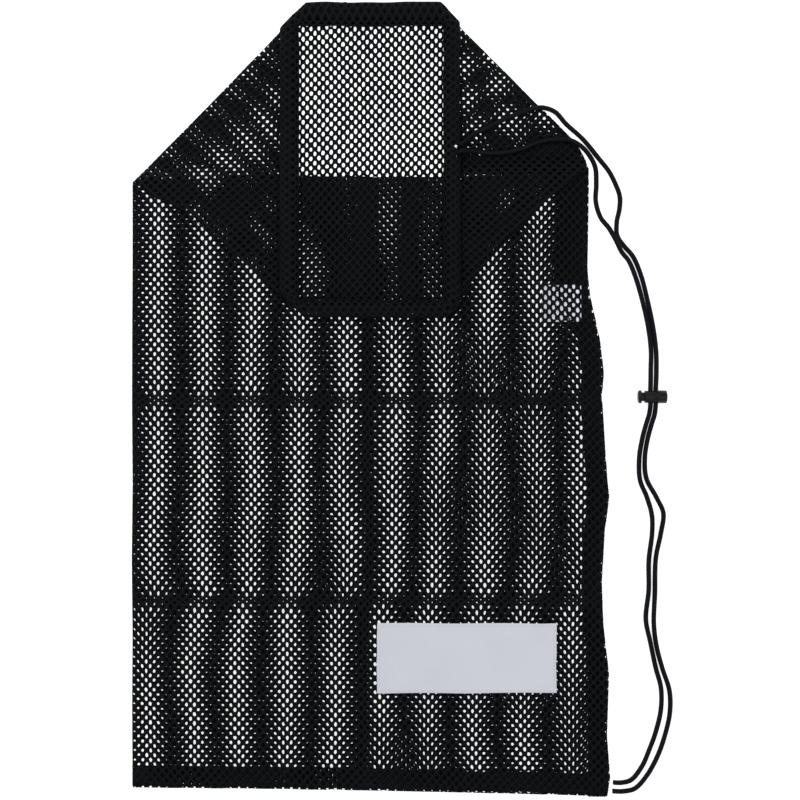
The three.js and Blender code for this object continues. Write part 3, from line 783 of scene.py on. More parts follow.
    def height(self, layer: Layer, x: Array, y: Array) -> Array:
        """Height of a layer.

        Args:
            layer: Which layer.
            x: Places across the bag.
            y: Places along it.

        Returns:
            The height at each place.
        """
        rule = {
            Layer.BACK: self.back,
            Layer.MOUTH: self.back,
            Layer.FRONT: self.front,
            Layer.FLAP: self.flap,
            Layer.SIDE: self.side,
        }[layer]
        return rule(x, y)


# Knitted net


@dataclass(frozen=True)
class Knit:
    """One repeat of the knitted net: staggered oval holes between slanting strands."""

    across: float = 8.04
    along: float = 9.3
    hole_across: float = 3.1
    hole_along: float = 4.75
    thickness: float = 0.9

    def cells(
        self, holes: Array, grow: Array, wrap: tuple[int, int] | None = None
    ) -> tuple[Array, Array, Array]:
        """Strands round each hole, as a plain pattern in the plane.

        Holes and the knots between them sit on one grid of half repeats: a hole where the two
        numbers add up to an even one. Each hole has four knots round it, which its neighbours
        share, and a rim of eight points. Knots stand up and down by half the thickness, and the
        rims lie in the middle, so that each strand has a lens-shaped section. A low wall closes
        the strands that no second hole shares.

        Args:
            holes: Grid numbers of the holes, one row each.
            grow: How many times its plain width and length each hole has.
            wrap: Grid numbers at which a closed pattern meets its start.

        Returns:
            Places in half repeats with their lift of -1, 0 or 1, and the faces.
        """
        around = np.array([(1, 0), (0, 1), (-1, 0), (0, -1)])
        knots = holes[:, None, :] + around[None]
        if wrap is not None:
            knots = knots % np.array(wrap)
        keys, index = np.unique(knots.reshape(-1, 2), axis=0, return_inverse=True)
        index = index.reshape(-1, 4)
        count = len(keys)
        angles = np.arange(8) * math.pi / 4.0
        size = np.array([self.hole_across / self.across, self.hole_along / self.along])
        ring = np.stack([np.cos(angles), np.sin(angles)], axis=1) * size
        rims = holes[:, None, :] + ring[None] * grow[:, None, :]
        places = np.concatenate([keys, keys, rims.reshape(-1, 2)]).astype(float)
        lift = np.concatenate([np.ones(count), -np.ones(count), np.zeros(8 * len(holes))])
        hole = 2 * count + np.arange(8 * len(holes)).reshape(-1, 8)
        after = np.roll(index, -1, axis=1)
        edges = np.minimum(index, after) * count + np.maximum(index, after)
        _, place, uses = np.unique(edges, return_inverse=True, return_counts=True)
        free = uses[place.reshape(-1)].reshape(-1, 4) == 1
        p, q = index[free], after[free]
        faces = [np.stack([q, p, p + count], axis=1), np.stack([q, p + count, q + count], axis=1)]
        for k in range(4):
            a, b, c = hole[:, 2 * k], hole[:, 2 * k + 1], hole[:, (2 * k + 2) % 8]
            for under, turn in ((0, 1), (count, -1)):
                p, q = index[:, k] + under, after[:, k] + under
                for corners in ((p, q, b), (p, b, a), (q, c, b)):
                    faces.append(np.stack(corners[::turn], axis=1))
        return places, lift, np.concatenate(faces)


@dataclass(frozen=True)
class NetSheet:
    """One flat layer of net inside an outline.

    Holes up to the overhang outside the outline are kept, and what of their rims is outside is
    pressed back to the spill's share of its way. Near its edge a sheet is drawn towards the next
    layer over the pull's width, and its strands get thinner.
    """

    name: str
    layer: Layer
    knit: Knit = Knit()
    turned: bool = False
    right_side: bool = False
    slant: float = 0.1
    shift: tuple[float, float] = (0.0, 0.0)
    offset: float = 0.0
    warp: float = 0.4
    seed: int = 1
    raise_by: float = 0.0
    margin: float = 12.0
    overhang: float = 3.2
    spill: float = 0.06
    uneven: float = 0.1
    thinnest: float = 0.3
    crease_band: float = 12.0
    flap_band: float = 8.0
    most_pull: float = 2.4
    pull_width: float = 2.2

    def build(
        self, layout: Layout, material: bpy.types.Material, outline: Array | None = None
    ) -> bpy.types.Object:
        """Makes the sheet.

        Grid places become plan places by the repeat, the slant of the rows, a soft seeded warp
        and a little unevenness. Strands that cross the outline are pressed back to it, and there
        the layer comes down or up to meet the next one.

        Args:
            layout: The folded bag's outlines and heights.
            material: The net's finish.
            outline: An outline to use in place of the layer's own.

        Returns:
            The new object.
        """
        rng = np.random.default_rng(self.seed)
        outline = layout.outline(self.layer, self.right_side) if outline is None else outline
        low, high = outline.min(axis=0) - self.margin, outline.max(axis=0) + self.margin
        reach = np.abs(np.concatenate([low, high])).max() * 1.25
        span = int(reach / (self.knit.across / 2.0))
        m, n = np.meshgrid(np.arange(-span, span + 1), np.arange(-span, span + 1))
        holes = np.stack([m.ravel(), n.ravel()], axis=1)
        holes = holes[holes.sum(axis=1) % 2 == 0]
        centres = self._plan(holes.astype(float))
        near = ((centres > low) & (centres < high)).all(axis=1)
        holes, centres = holes[near], centres[near]
        _, off = nearest_on(centres, outline)
        kept = inside(centres, outline) | (off < self.overhang)
        holes, centres = holes[kept], centres[kept]
        places, lift, faces = self.knit.cells(holes, self._openness(centres, rng))
        plan = self._plan(places)
        plan += rng.normal(0.0, self.uneven, plan.shape)
        out = ~inside(plan, outline)
        foot, gap = nearest_on(plan, outline)
        plan[out] = foot[out] + (plan[out] - foot[out]) * self.spill
        gap[out] = 0.0
        x, y = plan.T
        z = self._height(layout, x, y, gap) + self.raise_by
        thick = np.clip(self.thinnest + gap / 2.0, self.thinnest, 1.0)
        z = z + lift * self.knit.thickness / 2.0 * thick
        return make_piece(self.name, np.stack([x, y, z], axis=1), faces, material)

    def _openness(self, centres: Array, rng: np.random.Generator) -> Array:
        """How open each hole is: a little uneven, and smaller at the pressed creases.

        Args:
            centres: Where the holes' middles lie.
            rng: Gives the unevenness.

        Returns:
            How many times its plain width and length each hole has.
        """
        x, y = centres.T
        grow = 1.0 + rng.normal(0.0, HOLE_SPREAD, (len(centres), 2))
        if self.layer not in (Layer.BACK, Layer.FRONT):
            return grow
        shut = np.zeros(len(centres))
        for crease in CREASES_ACROSS:
            shut = np.maximum(shut, 0.5 * np.exp(-(((y - crease) / 5.0) ** 2)))
        shut = np.maximum(shut, 0.3 * np.exp(-(((x - CREASE_ALONG) / 5.0) ** 2)))
        return grow * (1.0 - shut)[:, None]

    def _plan(self, places: Array) -> Array:
        """Plan places of grid numbers.

        The rows slant and the whole sheet is softly warped. Towards each pressed crease the
        rows or columns crowd together, most at the crease. From just above the lower crease on
        down the rows are offset a little, so that the stripes of two crossing layers step there.

        Args:
            places: Places in half repeats.

        Returns:
            Places on the plan in millimetres.
        """
        u = places[:, 0] * self.knit.across / 2.0
        v = places[:, 1] * self.knit.along / 2.0 + self.slant * u
        if self.turned:
            u, v = -v, u
        x, y = u + self.shift[0], v + self.shift[1]
        x, y = (
            x + self.warp * waves(x, y, self.seed + 20, 130.0),
            y + self.warp * waves(x, y, self.seed + 40, 130.0),
        )
        if self.layer in (Layer.BACK, Layer.FRONT) and not self.turned:
            y = y + self.offset * smooth_step((-y - 190.0) / 20.0)
            for crease in CREASES_ACROSS:
                y = y - 0.5 * (y - crease) * np.exp(-(((y - crease) / 9.0) ** 2))
            x = x - 0.35 * (x - CREASE_ALONG) * np.exp(-(((x - CREASE_ALONG) / 8.0) ** 2))
        return np.stack([x, y], axis=1)

    def _height(self, layout: Layout, x: Array, y: Array, gap: Array) -> Array:
        """Height of the sheet, drawn half way to the next layer's at its edge.

        Args:
            layout: The folded bag's outlines and heights.
            x: Places across the bag.
            y: Places along it.
            gap: How far each place is from the outline.

        Returns:
            The height at each place.
        """
        own = layout.height(self.layer, x, y)
        crease = layout.crease_at(x)
        if self.layer is Layer.BACK:
            other = np.minimum(layout.front(x, y), own + self.most_pull)
            other = np.where(y > crease - self.crease_band, own, other)
        elif self.layer is Layer.MOUTH:
            other = np.where(y > crease + self.crease_band, layout.side(x, y), own)
        elif self.layer is Layer.FRONT:
            joined = y > crease - self.crease_band
            other = np.where(joined, own + LAYER_STEP, layout.back(x, y))
            other = np.maximum(other, own - self.most_pull)
        elif self.layer is Layer.FLAP:
            low = y < crease - self.flap_band
            other = np.where(low, own + LAYER_STEP, own - LAYER_STEP)
        else:
            other = np.where(y < crease, own - LAYER_STEP, layout.back(x, y))
        pull = np.exp(-((gap / self.pull_width) ** 2))
        return own + (other - own) * 0.5 * pull


@dataclass(frozen=True)
class SackNet:
    """The sack: its back, its front and the three folded parts of the mouth."""

    def sheets(self) -> list[NetSheet]:
        """The six sheets, with the slants that make the stripes where two of them cross."""
        drawn = Knit(hole_across=2.6, hole_along=4.0)
        return [
            NetSheet("net_back", Layer.BACK, slant=0.09, seed=11),
            NetSheet("net_mouth_back", Layer.MOUTH, slant=0.09, seed=11),
            NetSheet(
                "net_front", Layer.FRONT, slant=-0.107, seed=12, shift=(0.6, 4.3), offset=-1.6
            ),
            NetSheet(
                "net_flap", Layer.FLAP, drawn, slant=0.05, seed=13, shift=(1.7, 3.1), warp=0.9
            ),
            NetSheet("net_side_left", Layer.SIDE, drawn, True, slant=-0.08, seed=14, warp=0.9),
            NetSheet(
                "net_side_right", Layer.SIDE, drawn, True, True, slant=0.08, seed=15, warp=0.9
            ),
        ]

    def build(self, layout: Layout, material: bpy.types.Material) -> list[bpy.types.Object]:
        """Makes the sheets, which stand for the CAD sack.

        Args:
            layout: The folded bag's outlines and heights.
            material: The net's finish.

        Returns:
            The sheets.
        """
        pieces = []
        for sheet in self.sheets():
            piece = sheet.build(layout, material)
            size = self.plain_size(layout.outline(sheet.layer, sheet.right_side))
            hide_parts("mesh_sack")
            pieces.append(piece)
        return pieces

    @staticmethod
    def plain_size(outline: Array) -> tuple[float, float, float]:
        """Width, length and area of an outline, the area by the sum of crossed corners.

        Args:
            outline: The outline's corners, the first one repeated at the end.

        Returns:
            The three sizes.
        """
        width, length = np.ptp(outline, axis=0)
        x, y = outline.T
        area = abs((x[:-1] * y[1:] - x[1:] * y[:-1]).sum()) / 2.0
        return float(width), float(length), float(area)


@dataclass(frozen=True)
class SeamAllowances:
    """The sewn edges inside the net along the right side and the bottom.

    The side's depth is given at places along the bag: it is wider towards the mouth.
    """

    inset: float = 2.0
    width: float = 22.0
    side_places: tuple[float, ...] = (-396.0, 60.0, 110.0, 231.0)
    side_depths: tuple[float, ...] = (19.0, 22.0, 33.0, 33.0)
    mouth: tuple[tuple[float, float], ...] = (
        (86.0, 225.0),
        (86.0, 243.0),
        (140.0, 246.0),
        (188.0, 262.0),
        (204.0, 253.0),
        (214.0, 236.0),
        (215.0, 230.0),
        (150.0, 226.5),
    )

    def side_strip(self, layout: Layout) -> Array:
        """Outline of the strip along the right side.

        Args:
            layout: The folded bag's outlines and heights.

        Returns:
            Its corners, from the edge's top to its bottom and back.
        """
        right = layout.line("right_edge")
        depth = np.interp(right[:, 1], self.side_places, self.side_depths)
        inner = right - np.stack([depth, np.zeros(len(right))], axis=1)
        return np.concatenate([right - np.array([self.inset, 0.0]), inner[::-1]])

    def bottom_strip(self, layout: Layout) -> Array:
        """Outline of the strip along the bottom.

        Args:
            layout: The folded bag's outlines and heights.

        Returns:
            Its corners, from the edge's right to its left and back.
        """
        bottom = layout.line("bottom_edge")
        upper = bottom + np.array([0.0, self.width])
        return np.concatenate([bottom + np.array([0.0, self.inset]), upper[::-1]])

    def build(self, layout: Layout, material: bpy.types.Material) -> list[bpy.types.Object]:
        """Makes two layers of net along each sewn edge.

        Args:
            layout: The folded bag's outlines and heights.
            material: The net's finish.

        Returns:
            The strips.
        """
        side, strip = self.side_strip(layout), self.bottom_strip(layout)
        mouth = np.array(self.mouth)
        dense = Knit(hole_across=2.2, hole_along=3.4)
        loose = Knit(hole_across=2.7, hole_along=4.1)
        pieces = []
        for name, outline, knit, seed, shift, node, lift in (
            ("seam_side_net", side, dense, 31, (2.1, 2.4), "side_seam", 0.8),
            ("seam_side_turn", side, dense, 34, (0.4, 4.6), "side_seam", 1.6),
            ("seam_mouth_net", mouth, dense, 35, (1.4, 1.2), "side_seam", 0.6),
            ("seam_mouth_turn", mouth, dense, 36, (3.4, 4.2), "side_seam", 1.0),
            ("seam_bottom_net", strip, loose, 32, (2.2, 4.4), "bottom_seam", 0.9),
            ("seam_bottom_turn", strip, loose, 33, (4.0, 1.2), "bottom_seam", 1.8),
        ):
            closed = np.concatenate([outline, outline[:1]])
            sheet = NetSheet(
                name, Layer.BACK, knit, seed=seed, shift=shift, slant=-0.04, raise_by=lift
            )
            piece = sheet.build(layout, material, closed)
            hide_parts(node)
            width, length, area = SackNet.plain_size(closed)
            area = max(LEAST_SHARE * width * length, SEAM_SHARE * area)
            pieces.append(piece)
        return pieces


# Hem of the mouth


@dataclass(frozen=True)
class MouthHem:
    """The flat sleeve of doubled net round the mouth, as a frame with cut corners."""

    left: float = -91.5
    right: float = 88.5
    top: float = 397.0
    bottom: float = 82.0
    width_left: float = 19.5
    width_right: float = 17.0
    width_top: float = 24.0
    width_bottom: float = 18.0
    cuts: tuple[float, float, float, float] = (19.0, 12.0, 25.0, 26.0)
    half_height: float = 3.7
    around: int = 6
    along: int = 112
    girth: float = 970.0
    exit_y: float = 251.5
    exit_half: float = 8.5
    on_net: float = 1.5
    on_flap: float = 9.2

    def stations(self) -> Array:
        """Corners of the frame in order, clockwise from its top left.

        Returns:
            One row for each corner: the outer X and Y and the inner X and Y.
        """
        il, ir = self.left + self.width_left, self.right - self.width_right
        it, ib = self.top - self.width_top, self.bottom + self.width_bottom
        tr, br, bl, tl = self.cuts
        rows = [
            (self.left + tl, self.top, max(self.left + tl, il), it),
            (self.right - tr, self.top, min(self.right - tr, ir), it),
            (self.right - tr / 2, self.top - tr / 2, ir, it),
            (self.right, self.top - tr, ir, min(self.top - tr, it)),
            (self.right, self.bottom + br, ir, max(self.bottom + br, ib)),
            (self.right - br / 2, self.bottom + br / 2, ir, ib),
            (self.right - br, self.bottom, min(self.right - br, ir), ib),
            (self.left + bl, self.bottom, max(self.left + bl, il), ib),
            (self.left + bl / 2, self.bottom + bl / 2, il, ib),
            (self.left, self.bottom + bl, il, max(self.bottom + bl, ib)),
            (self.left, self.top - tl, il, min(self.top - tl, it)),
            (self.left + tl / 2, self.top - tl / 2, il, it),
        ]
        return np.array(rows)

    def at(self, share: Array) -> tuple[Array, Array]:
        """Outer and inner edge of the band at shares of the way round.

        Args:
            share: Shares from 0 to 1 of the middle line's length.

        Returns:
            Places on the outer and on the inner edge.
        """
        rows = self.stations()
        rows = np.concatenate([rows, rows[:1]])
        middle = (rows[:, :2] + rows[:, 2:]) / 2.0
        steps = np.linalg.norm(np.diff(middle, axis=0), axis=1)
        way = np.concatenate([[0.0], np.cumsum(steps)])
        place = (share % 1.0) * way[-1]
        columns = [np.interp(place, way, rows[:, k]) for k in range(4)]
        return np.stack(columns[:2], axis=-1), np.stack(columns[2:], axis=-1)

    def floor_under(self, y: Array) -> Array:
        """Height under the sleeve.

        It lies on the mouth's back above the crease, where it comes down to the floor at the
        top, and on the flap below it, where it comes down to the front at the bottom.

        Args:
            y: Places along the bag.

        Returns:
            The height at each place.
        """
        low = self.on_net - 1.3 * smooth_step((y - 366.0) / 14.0)
        high = self.on_flap - 1.6 * smooth_step((104.0 - y) / 10.0)
        return high + (low - high) * np.clip((y - 224.0) / 60.0, 0.0, 1.0)

    def build(self, material: bpy.types.Material) -> list[bpy.types.Object]:
        """Makes the two nested turns of net in the sleeve.

        Args:
            material: The net's finish.

        Returns:
            The pieces.
        """
        pieces = []
        for name, shrink, seed in (("hem_outer_net", 0.0, 51), ("hem_inner_net", 1.1, 52)):
            knit = Knit(hole_across=2.9, hole_along=4.4)
            rng = np.random.default_rng(seed)
            m, n = np.meshgrid(np.arange(2 * self.around), np.arange(2 * self.along))
            holes = np.stack([m.ravel(), n.ravel()], axis=1)
            holes = holes[holes.sum(axis=1) % 2 == 0]
            points, faces = self._wrap(knit, holes, rng, shrink, seed)
            piece = make_piece(name, points, faces, material)
            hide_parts("mouth_hem")
            pieces.append(piece)
        return pieces

    def _wrap(
        self, knit: Knit, holes: Array, rng: np.random.Generator, shrink: float, seed: int
    ) -> tuple[Array, Array]:
        """Lays the pattern round the sleeve, closed both ways.

        A grid place's first number goes round the oval section and its second along the frame.
        The holes over the cord's exit are left out, which leaves a gap for the cord.

        Args:
            knit: The repeat.
            holes: Grid numbers of the holes.
            rng: Gives the unevenness.
            shrink: How far inside the sleeve's outside it lies.
            seed: Turns the pattern round the section.

        Returns:
            Points in millimetres and faces.
        """
        columns, rows = 2 * self.around, 2 * self.along
        offset = seed * 0.037
        turn = holes[:, 0] / columns + offset
        outer, _ = self.at(holes[:, 1] / rows)
        facing = (np.cos(2.0 * math.pi * turn) > 0.3) & (outer[:, 0] > self.right - 0.5)
        holes = holes[~(facing & (np.abs(outer[:, 1] - self.exit_y) < self.exit_half))]
        grow = 1.0 + rng.normal(0.0, HOLE_SPREAD, (len(holes), 2))
        places, lift, faces = knit.cells(holes, grow, (columns, rows))
        angle = 2.0 * math.pi * (places[:, 0] / columns + offset)
        outer, inner = self.at(places[:, 1] / rows)
        across = outer - inner
        width = np.linalg.norm(across, axis=1)
        direction = across / width[:, None]
        middle = (outer + inner) / 2.0
        reach = width / 2.0 - shrink + lift * knit.thickness / 2.0
        tall = self.half_height - shrink + lift * knit.thickness / 2.0
        flat = np.sign(np.cos(angle)) * np.abs(np.cos(angle)) ** 0.8
        plan = middle + direction * (reach * flat)[:, None]
        uneven = 0.5 * waves(plan[:, 0], plan[:, 1], seed, 40.0)
        plan = plan + direction * (uneven * np.cos(angle))[:, None]
        rise = np.sin(angle) * (tall + uneven * 0.6)
        z = self.floor_under(middle[:, 1]) + self.half_height + 0.5 + rise
        return np.stack([plan[:, 0], plan[:, 1], z], axis=1), faces


# Cords


def spline(route: Array, spacing: float) -> Array:
    """A smooth line through a route's points, as even steps.

    Between two points it is a cubic whose slopes come from the points before and after, each
    step weighted by the square root of its length.

    Args:
        route: The points, one row each.
        spacing: The step's length, about.

    Returns:
        The line's points.
    """
    first, last = 2.0 * route[0] - route[1], 2.0 * route[-1] - route[-2]
    p = np.concatenate([first[None], route, last[None]])
    d = np.sqrt(np.linalg.norm(np.diff(p, axis=0), axis=1))[:, None]
    d0, d1, d2 = d[:-2], d[1:-1], d[2:]
    a, b, c, e = p[:-3], p[1:-2], p[2:-1], p[3:]
    m1 = ((b - a) / d0 - (c - a) / (d0 + d1) + (c - b) / d1) * d1
    m2 = ((c - b) / d1 - (e - b) / (d1 + d2) + (e - c) / d2) * d1
    s = np.linspace(0.0, 1.0, 40, endpoint=False)[None, :, None]
    cubic = (
        (2 * s**3 - 3 * s**2 + 1) * b[:, None]
        + (s**3 - 2 * s**2 + s) * m1[:, None]
        + (-2 * s**3 + 3 * s**2) * c[:, None]
        + (s**3 - s**2) * m2[:, None]
    )
    dense = np.concatenate([cubic.reshape(-1, 3), route[-1:]])
    way = np.concatenate([[0.0], np.cumsum(np.linalg.norm(np.diff(dense, axis=0), axis=1))])
    even = np.linspace(0.0, way[-1], int(round(way[-1] / spacing)) + 1)
    return np.stack([np.interp(even, way, dense[:, k]) for k in range(3)], axis=1)


@dataclass(frozen=True)
class BraidedCord:
    """A strand of the soft braided draw cord. Its route is in metres, its sizes in millimetres."""

    name: str
    node: str
    route: tuple[tuple[float, float, float], ...]
    diameter: float = 4.8
    sides: int = 24
    spacing: float = 0.8
    lay: float = 10.4
    relief: float = 0.13
    fullness: float = 1.03
    ridge_pairs: int = 4
    squash: float = 0.015
    squash_length: float = 9.0

    def build(
        self, material: bpy.types.Material, free: bool, with_pieces: Sequence[object] = ()
    ) -> bpy.types.Object:
        """Makes the cord as a tube with the braid's ridges in its surface.

        The ridges are the higher of two waves that wind round it in opposite directions. Each
        wave has eight ridges round the cord, in four pairs, and winds a quarter of the way round
        in one lay. The tube's radius is least between the ridges. Its soft yarn stands a little
        fuller than the cord's plain diameter.

        Args:
            material: The cord's finish.
            free: Whether it lies free of the bag.
            with_pieces: What sits on it; not used.

        Returns:
            The new object.
        """
        line = spline(np.array(self.route) / MM, self.spacing)
        tangent = np.gradient(line, axis=0)
        tangent /= np.linalg.norm(tangent, axis=1)[:, None]
        side = np.cross(tangent, [0.0, 0.0, 1.0])
        side /= np.linalg.norm(side, axis=1)[:, None]
        up = np.cross(side, tangent)
        angle = np.arange(self.sides) * 2.0 * math.pi / self.sides
        way = np.arange(len(line)) * self.spacing
        turn = 2.0 * math.pi * way[:, None] / self.lay
        ridge = np.maximum(
            np.abs(np.sin(self.ridge_pairs * angle[None] + turn)),
            np.abs(np.sin(self.ridge_pairs * angle[None] - turn)),
        )
        radius = self.diameter / 2.0 * (self.fullness - self.relief * (1.0 - ridge))
        squash = 1.0 + self.squash * np.sin(way / self.squash_length)[:, None]
        ring = (
            side[:, None] * (np.cos(angle)[None, :, None] * (radius * squash)[..., None])
            + up[:, None] * (np.sin(angle)[None, :, None] * radius[..., None])
        )
        points = (line[:, None] + ring).reshape(-1, 3)
        rows, columns = len(line), self.sides
        points = np.concatenate([points, line[:1], line[-1:]])
        j = np.arange(columns)
        n = (j + 1) % columns
        last = (rows - 1) * columns
        caps = np.concatenate(
            [
                np.stack([n, j, np.full(columns, rows * columns)], axis=1),
                np.stack([last + j, last + n, np.full(columns, rows * columns + 1)], axis=1),
            ]
        )
        faces = [grid_faces(rows, columns, closed=True)[:, ::-1], caps[:, ::-1]]
        piece = make_piece(self.name, points, faces, material)
        # the ridge values darken the valleys in the cord's material: painted shade
        attribute = piece.data.attributes.new("relief", "FLOAT", "POINT")
        attribute.data.foreach_set("value", np.append(ridge.ravel(), [0.5, 0.5]).astype("f"))
        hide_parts(self.node)
        if free:
            self.diameter * MM
        return piece


# Cord lock


@dataclass(frozen=True)
class CordLock:
    """The spring lock: a barrel, and a plunger that presses into it."""

    start: tuple[float, float, float] = (272.3, 3.2, 6.7)
    length: float = 22.4
    sides: int = 96
    barrel_slot: float = 3.0
    plunger_slot: float = 0.5
    slot_end: float = 13.8
    slot_height: float = 5.6
    corner: float = 1.2
    bar_sides: int = 48
    bar_reach: float = 12.0
    edge: float = 0.25

    def lathe(self, name: str, profile: Sequence[tuple[float, float]]) -> bpy.types.Object:
        """Turns a profile round the lock's axis.

        Args:
            name: The object's name.
            profile: Pairs of the place along the axis and the radius, from axis to axis.

        Returns:
            The closed form.
        """
        along, radius = np.array(profile).T
        angle = np.arange(self.sides) * 2.0 * math.pi / self.sides
        x = np.repeat(along[1:-1, None], self.sides, axis=1)
        y = radius[1:-1, None] * np.cos(angle)
        z = radius[1:-1, None] * np.sin(angle)
        ring = np.stack([x, y, z], axis=-1).reshape(-1, 3)
        ends = np.array([[along[0], 0.0, 0.0], [along[-1], 0.0, 0.0]])
        points = np.concatenate([ring, ends]) + np.array(self.start)
        rows = len(along) - 2
        j = np.arange(self.sides)
        n = (j + 1) % self.sides
        last = (rows - 1) * self.sides
        caps = [
            np.stack([n, j, np.full(self.sides, len(ring))], axis=1),
            np.stack([last + j, last + n, np.full(self.sides, len(ring) + 1)], axis=1),
        ]
        quads = grid_faces(rows, self.sides, closed=True)
        mesh = bpy.data.meshes.new(name)
        faces = quads[:, ::-1].tolist() + np.concatenate(caps)[:, ::-1].tolist()
        mesh.from_pydata((points * MM).tolist(), [], faces)
        mesh.update()
        made = bpy.data.objects.new(name, mesh)
        bpy.context.scene.collection.objects.link(made)
        return made

    def cutter(self, start: float) -> bpy.types.Object:
        """A long bar with rounded corners, for the slot through the lock.

        Its section is a circle whose quarters are moved apart to the slot's four corners.

        Args:
            start: Where the slot starts along the axis.

        Returns:
            The bar.
        """
        count, reach = self.bar_sides, self.bar_reach
        middle, half = (start + self.slot_end) / 2.0, (self.slot_end - start) / 2.0
        angle = np.arange(count) * 2.0 * math.pi / count
        across, rise = np.cos(angle), np.sin(angle)
        x = np.sign(across) * (half - self.corner) + self.corner * across + middle
        z = np.sign(rise) * (self.slot_height / 2.0 - self.corner) + self.corner * rise
        ring = np.stack([x, np.full(count, -reach), z], axis=1)
        other = ring + np.array([0.0, 2.0 * reach, 0.0])
        points = np.concatenate([ring, other]) + np.array(self.start)
        sides = grid_faces(2, count, closed=True).tolist()
        mesh = bpy.data.meshes.new("lock_cutter")
        ends = [list(range(count))[::-1], list(range(count, 2 * count))]
        mesh.from_pydata((points * MM).tolist(), [], sides + ends)
        mesh.update()
        made = bpy.data.objects.new("lock_cutter", mesh)
        bpy.context.scene.collection.objects.link(made)
        return made

    def carve(
        self,
        form: bpy.types.Object,
        bar: bpy.types.Object,
        material: bpy.types.Material,
        body: str,
        node: str,
    ) -> bpy.types.Object:
        """Cuts the slot, softens the edges and finishes the piece.

        Args:
            form: The turned form.
            bar: What is cut out of it.
            material: The plastic.
            body: The body it rides on.
            node: The CAD node it stands for.

        Returns:
            The finished piece.
        """
        cut = form.modifiers.new("slot", "BOOLEAN")
        cut.operation, cut.object, cut.solver = "DIFFERENCE", bar, "EXACT"
        soft = form.modifiers.new("edges", "BEVEL")
        soft.width, soft.segments, soft.limit_method = self.edge * MM, 2, "ANGLE"
        soft.angle_limit = math.radians(50.0)
        bpy.context.view_layer.update()
        graph = bpy.context.evaluated_depsgraph_get()
        mesh = bpy.data.meshes.new_from_object(form.evaluated_get(graph))
        form.modifiers.clear()
        form.data = mesh
        mesh.materials.clear()
        mesh.materials.append(material)
        mesh.polygons.foreach_set("use_smooth", np.full(len(mesh.polygons), True))
        mesh.set_sharp_from_angle(angle=math.radians(35.0))
        bpy.data.objects.remove(bar)
        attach(form, body)
        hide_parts(node)
        return form

    def build(self, material: bpy.types.Material) -> list[bpy.types.Object]:
        """Makes the barrel and the plunger.

        Args:
            material: The plastic.

        Returns:
            The two pieces.
        """
        barrel = self.lathe("cord_lock_barrel", self.barrel_profile())
        plunger = self.lathe("cord_lock_plunger", self.plunger_profile())
        bar = self.cutter(self.barrel_slot)
        barrel = self.carve(barrel, bar, material, "bag", "lock_barrel")
        bar = self.cutter(self.plunger_slot)
        plunger = self.carve(plunger, bar, material, "plunger", "lock_plunger")
        return [barrel, plunger]

    def barrel_profile(self) -> list[tuple[float, float]]:
        """The barrel's profile: bore, open lip, waist, body and rounded end.

        Returns:
            Pairs of the place along the axis and the radius.
        """
        end = self.length
        return [
            (end - 2.2, 0.0),
            (end - 2.2, 4.7),
            (0.35, 4.7),
            (0.0, 5.05),
            (0.0, 5.7),
            (0.35, 6.05),
            (10.2, 6.05),
            (10.6, 5.7),
            (12.2, 5.7),
            (12.4, 6.1),
            (12.7, 6.4),
            (end - 1.4, 6.4),
            (end - 0.85, 6.1),
            (end - 0.35, 5.2),
            (end, 3.5),
            (end, 0.0),
        ]

    @staticmethod
    def plunger_profile() -> list[tuple[float, float]]:
        """The plunger's profile: domed head, then the shaft.

        Returns:
            Pairs of the place along the axis and the radius.
        """
        return [
            (-6.9, 0.0),
            (-6.9, 4.4),
            (-6.75, 5.1),
            (-6.3, 5.9),
            (-5.7, 6.4),
            (-5.2, 6.6),
            (-3.8, 6.6),
            (-3.4, 6.25),
            (-3.4, 4.4),
            (15.2, 4.4),
            (15.6, 4.0),
            (15.6, 0.0),
        ]


# Label and tag


@dataclass(frozen=True)
class Patch:
    """A small flat piece of woven cloth."""

    name: str
    node: str
    slot: str
    left: float
    right: float
    bottom: float
    top: float
    thickness: float
    height: Callable[[Array, Array], Array]
    wave: float = 0.6
    step: float = 0.8
    seed: int = 61

    def build(self, material: bpy.types.Material) -> bpy.types.Object:
        """Makes the cloth as a thin closed slab with slightly uneven edges.

        Args:
            material: The cloth's finish.

        Returns:
            The new object.
        """
        columns = int((self.right - self.left) / self.step) + 1
        rows = int((self.top - self.bottom) / self.step) + 1
        s, t = np.meshgrid(np.linspace(0.0, 1.0, columns), np.linspace(0.0, 1.0, rows))
        x = self.left + (self.right - self.left) * s
        y = self.bottom + (self.top - self.bottom) * t
        x = x + self.wave * 0.5 * waves(y, y * 0.0, self.seed, 30.0) * (2.0 * s - 1.0) ** 2
        y = y + self.wave * waves(x, x * 0.0 + t * 40.0, self.seed + 1, 60.0) * 0.6
        x = np.clip(x, self.left - 1.0, self.right + 1.0)
        z = self.height(x, y)
        edge = np.minimum(np.minimum(s, 1.0 - s) * columns, np.minimum(t, 1.0 - t) * rows)
        half = self.thickness / 2.0 * np.clip(0.35 + edge / 2.0, 0.35, 1.0)
        top = np.stack([x, y, z + half], axis=-1).reshape(-1, 3)
        low = np.stack([x, y, z - half], axis=-1).reshape(-1, 3)
        quads = grid_faces(rows, columns)
        count = rows * columns
        ring = np.concatenate(
            [
                np.arange(columns),
                np.arange(1, rows) * columns + columns - 1,
                (rows - 1) * columns + np.arange(columns - 1)[::-1],
                np.arange(1, rows - 1)[::-1] * columns,
            ]
        )
        after = np.roll(ring, -1)
        wall = np.stack([ring + count, after + count, after, ring], axis=1)
        faces = np.concatenate([quads, quads[:, ::-1] + count, wall])
        piece = make_piece(self.name, np.concatenate([top, low]), faces, material)
        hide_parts(self.node)
        (self.right - self.left) * MM
        (self.top - self.bottom) * MM
        return piece


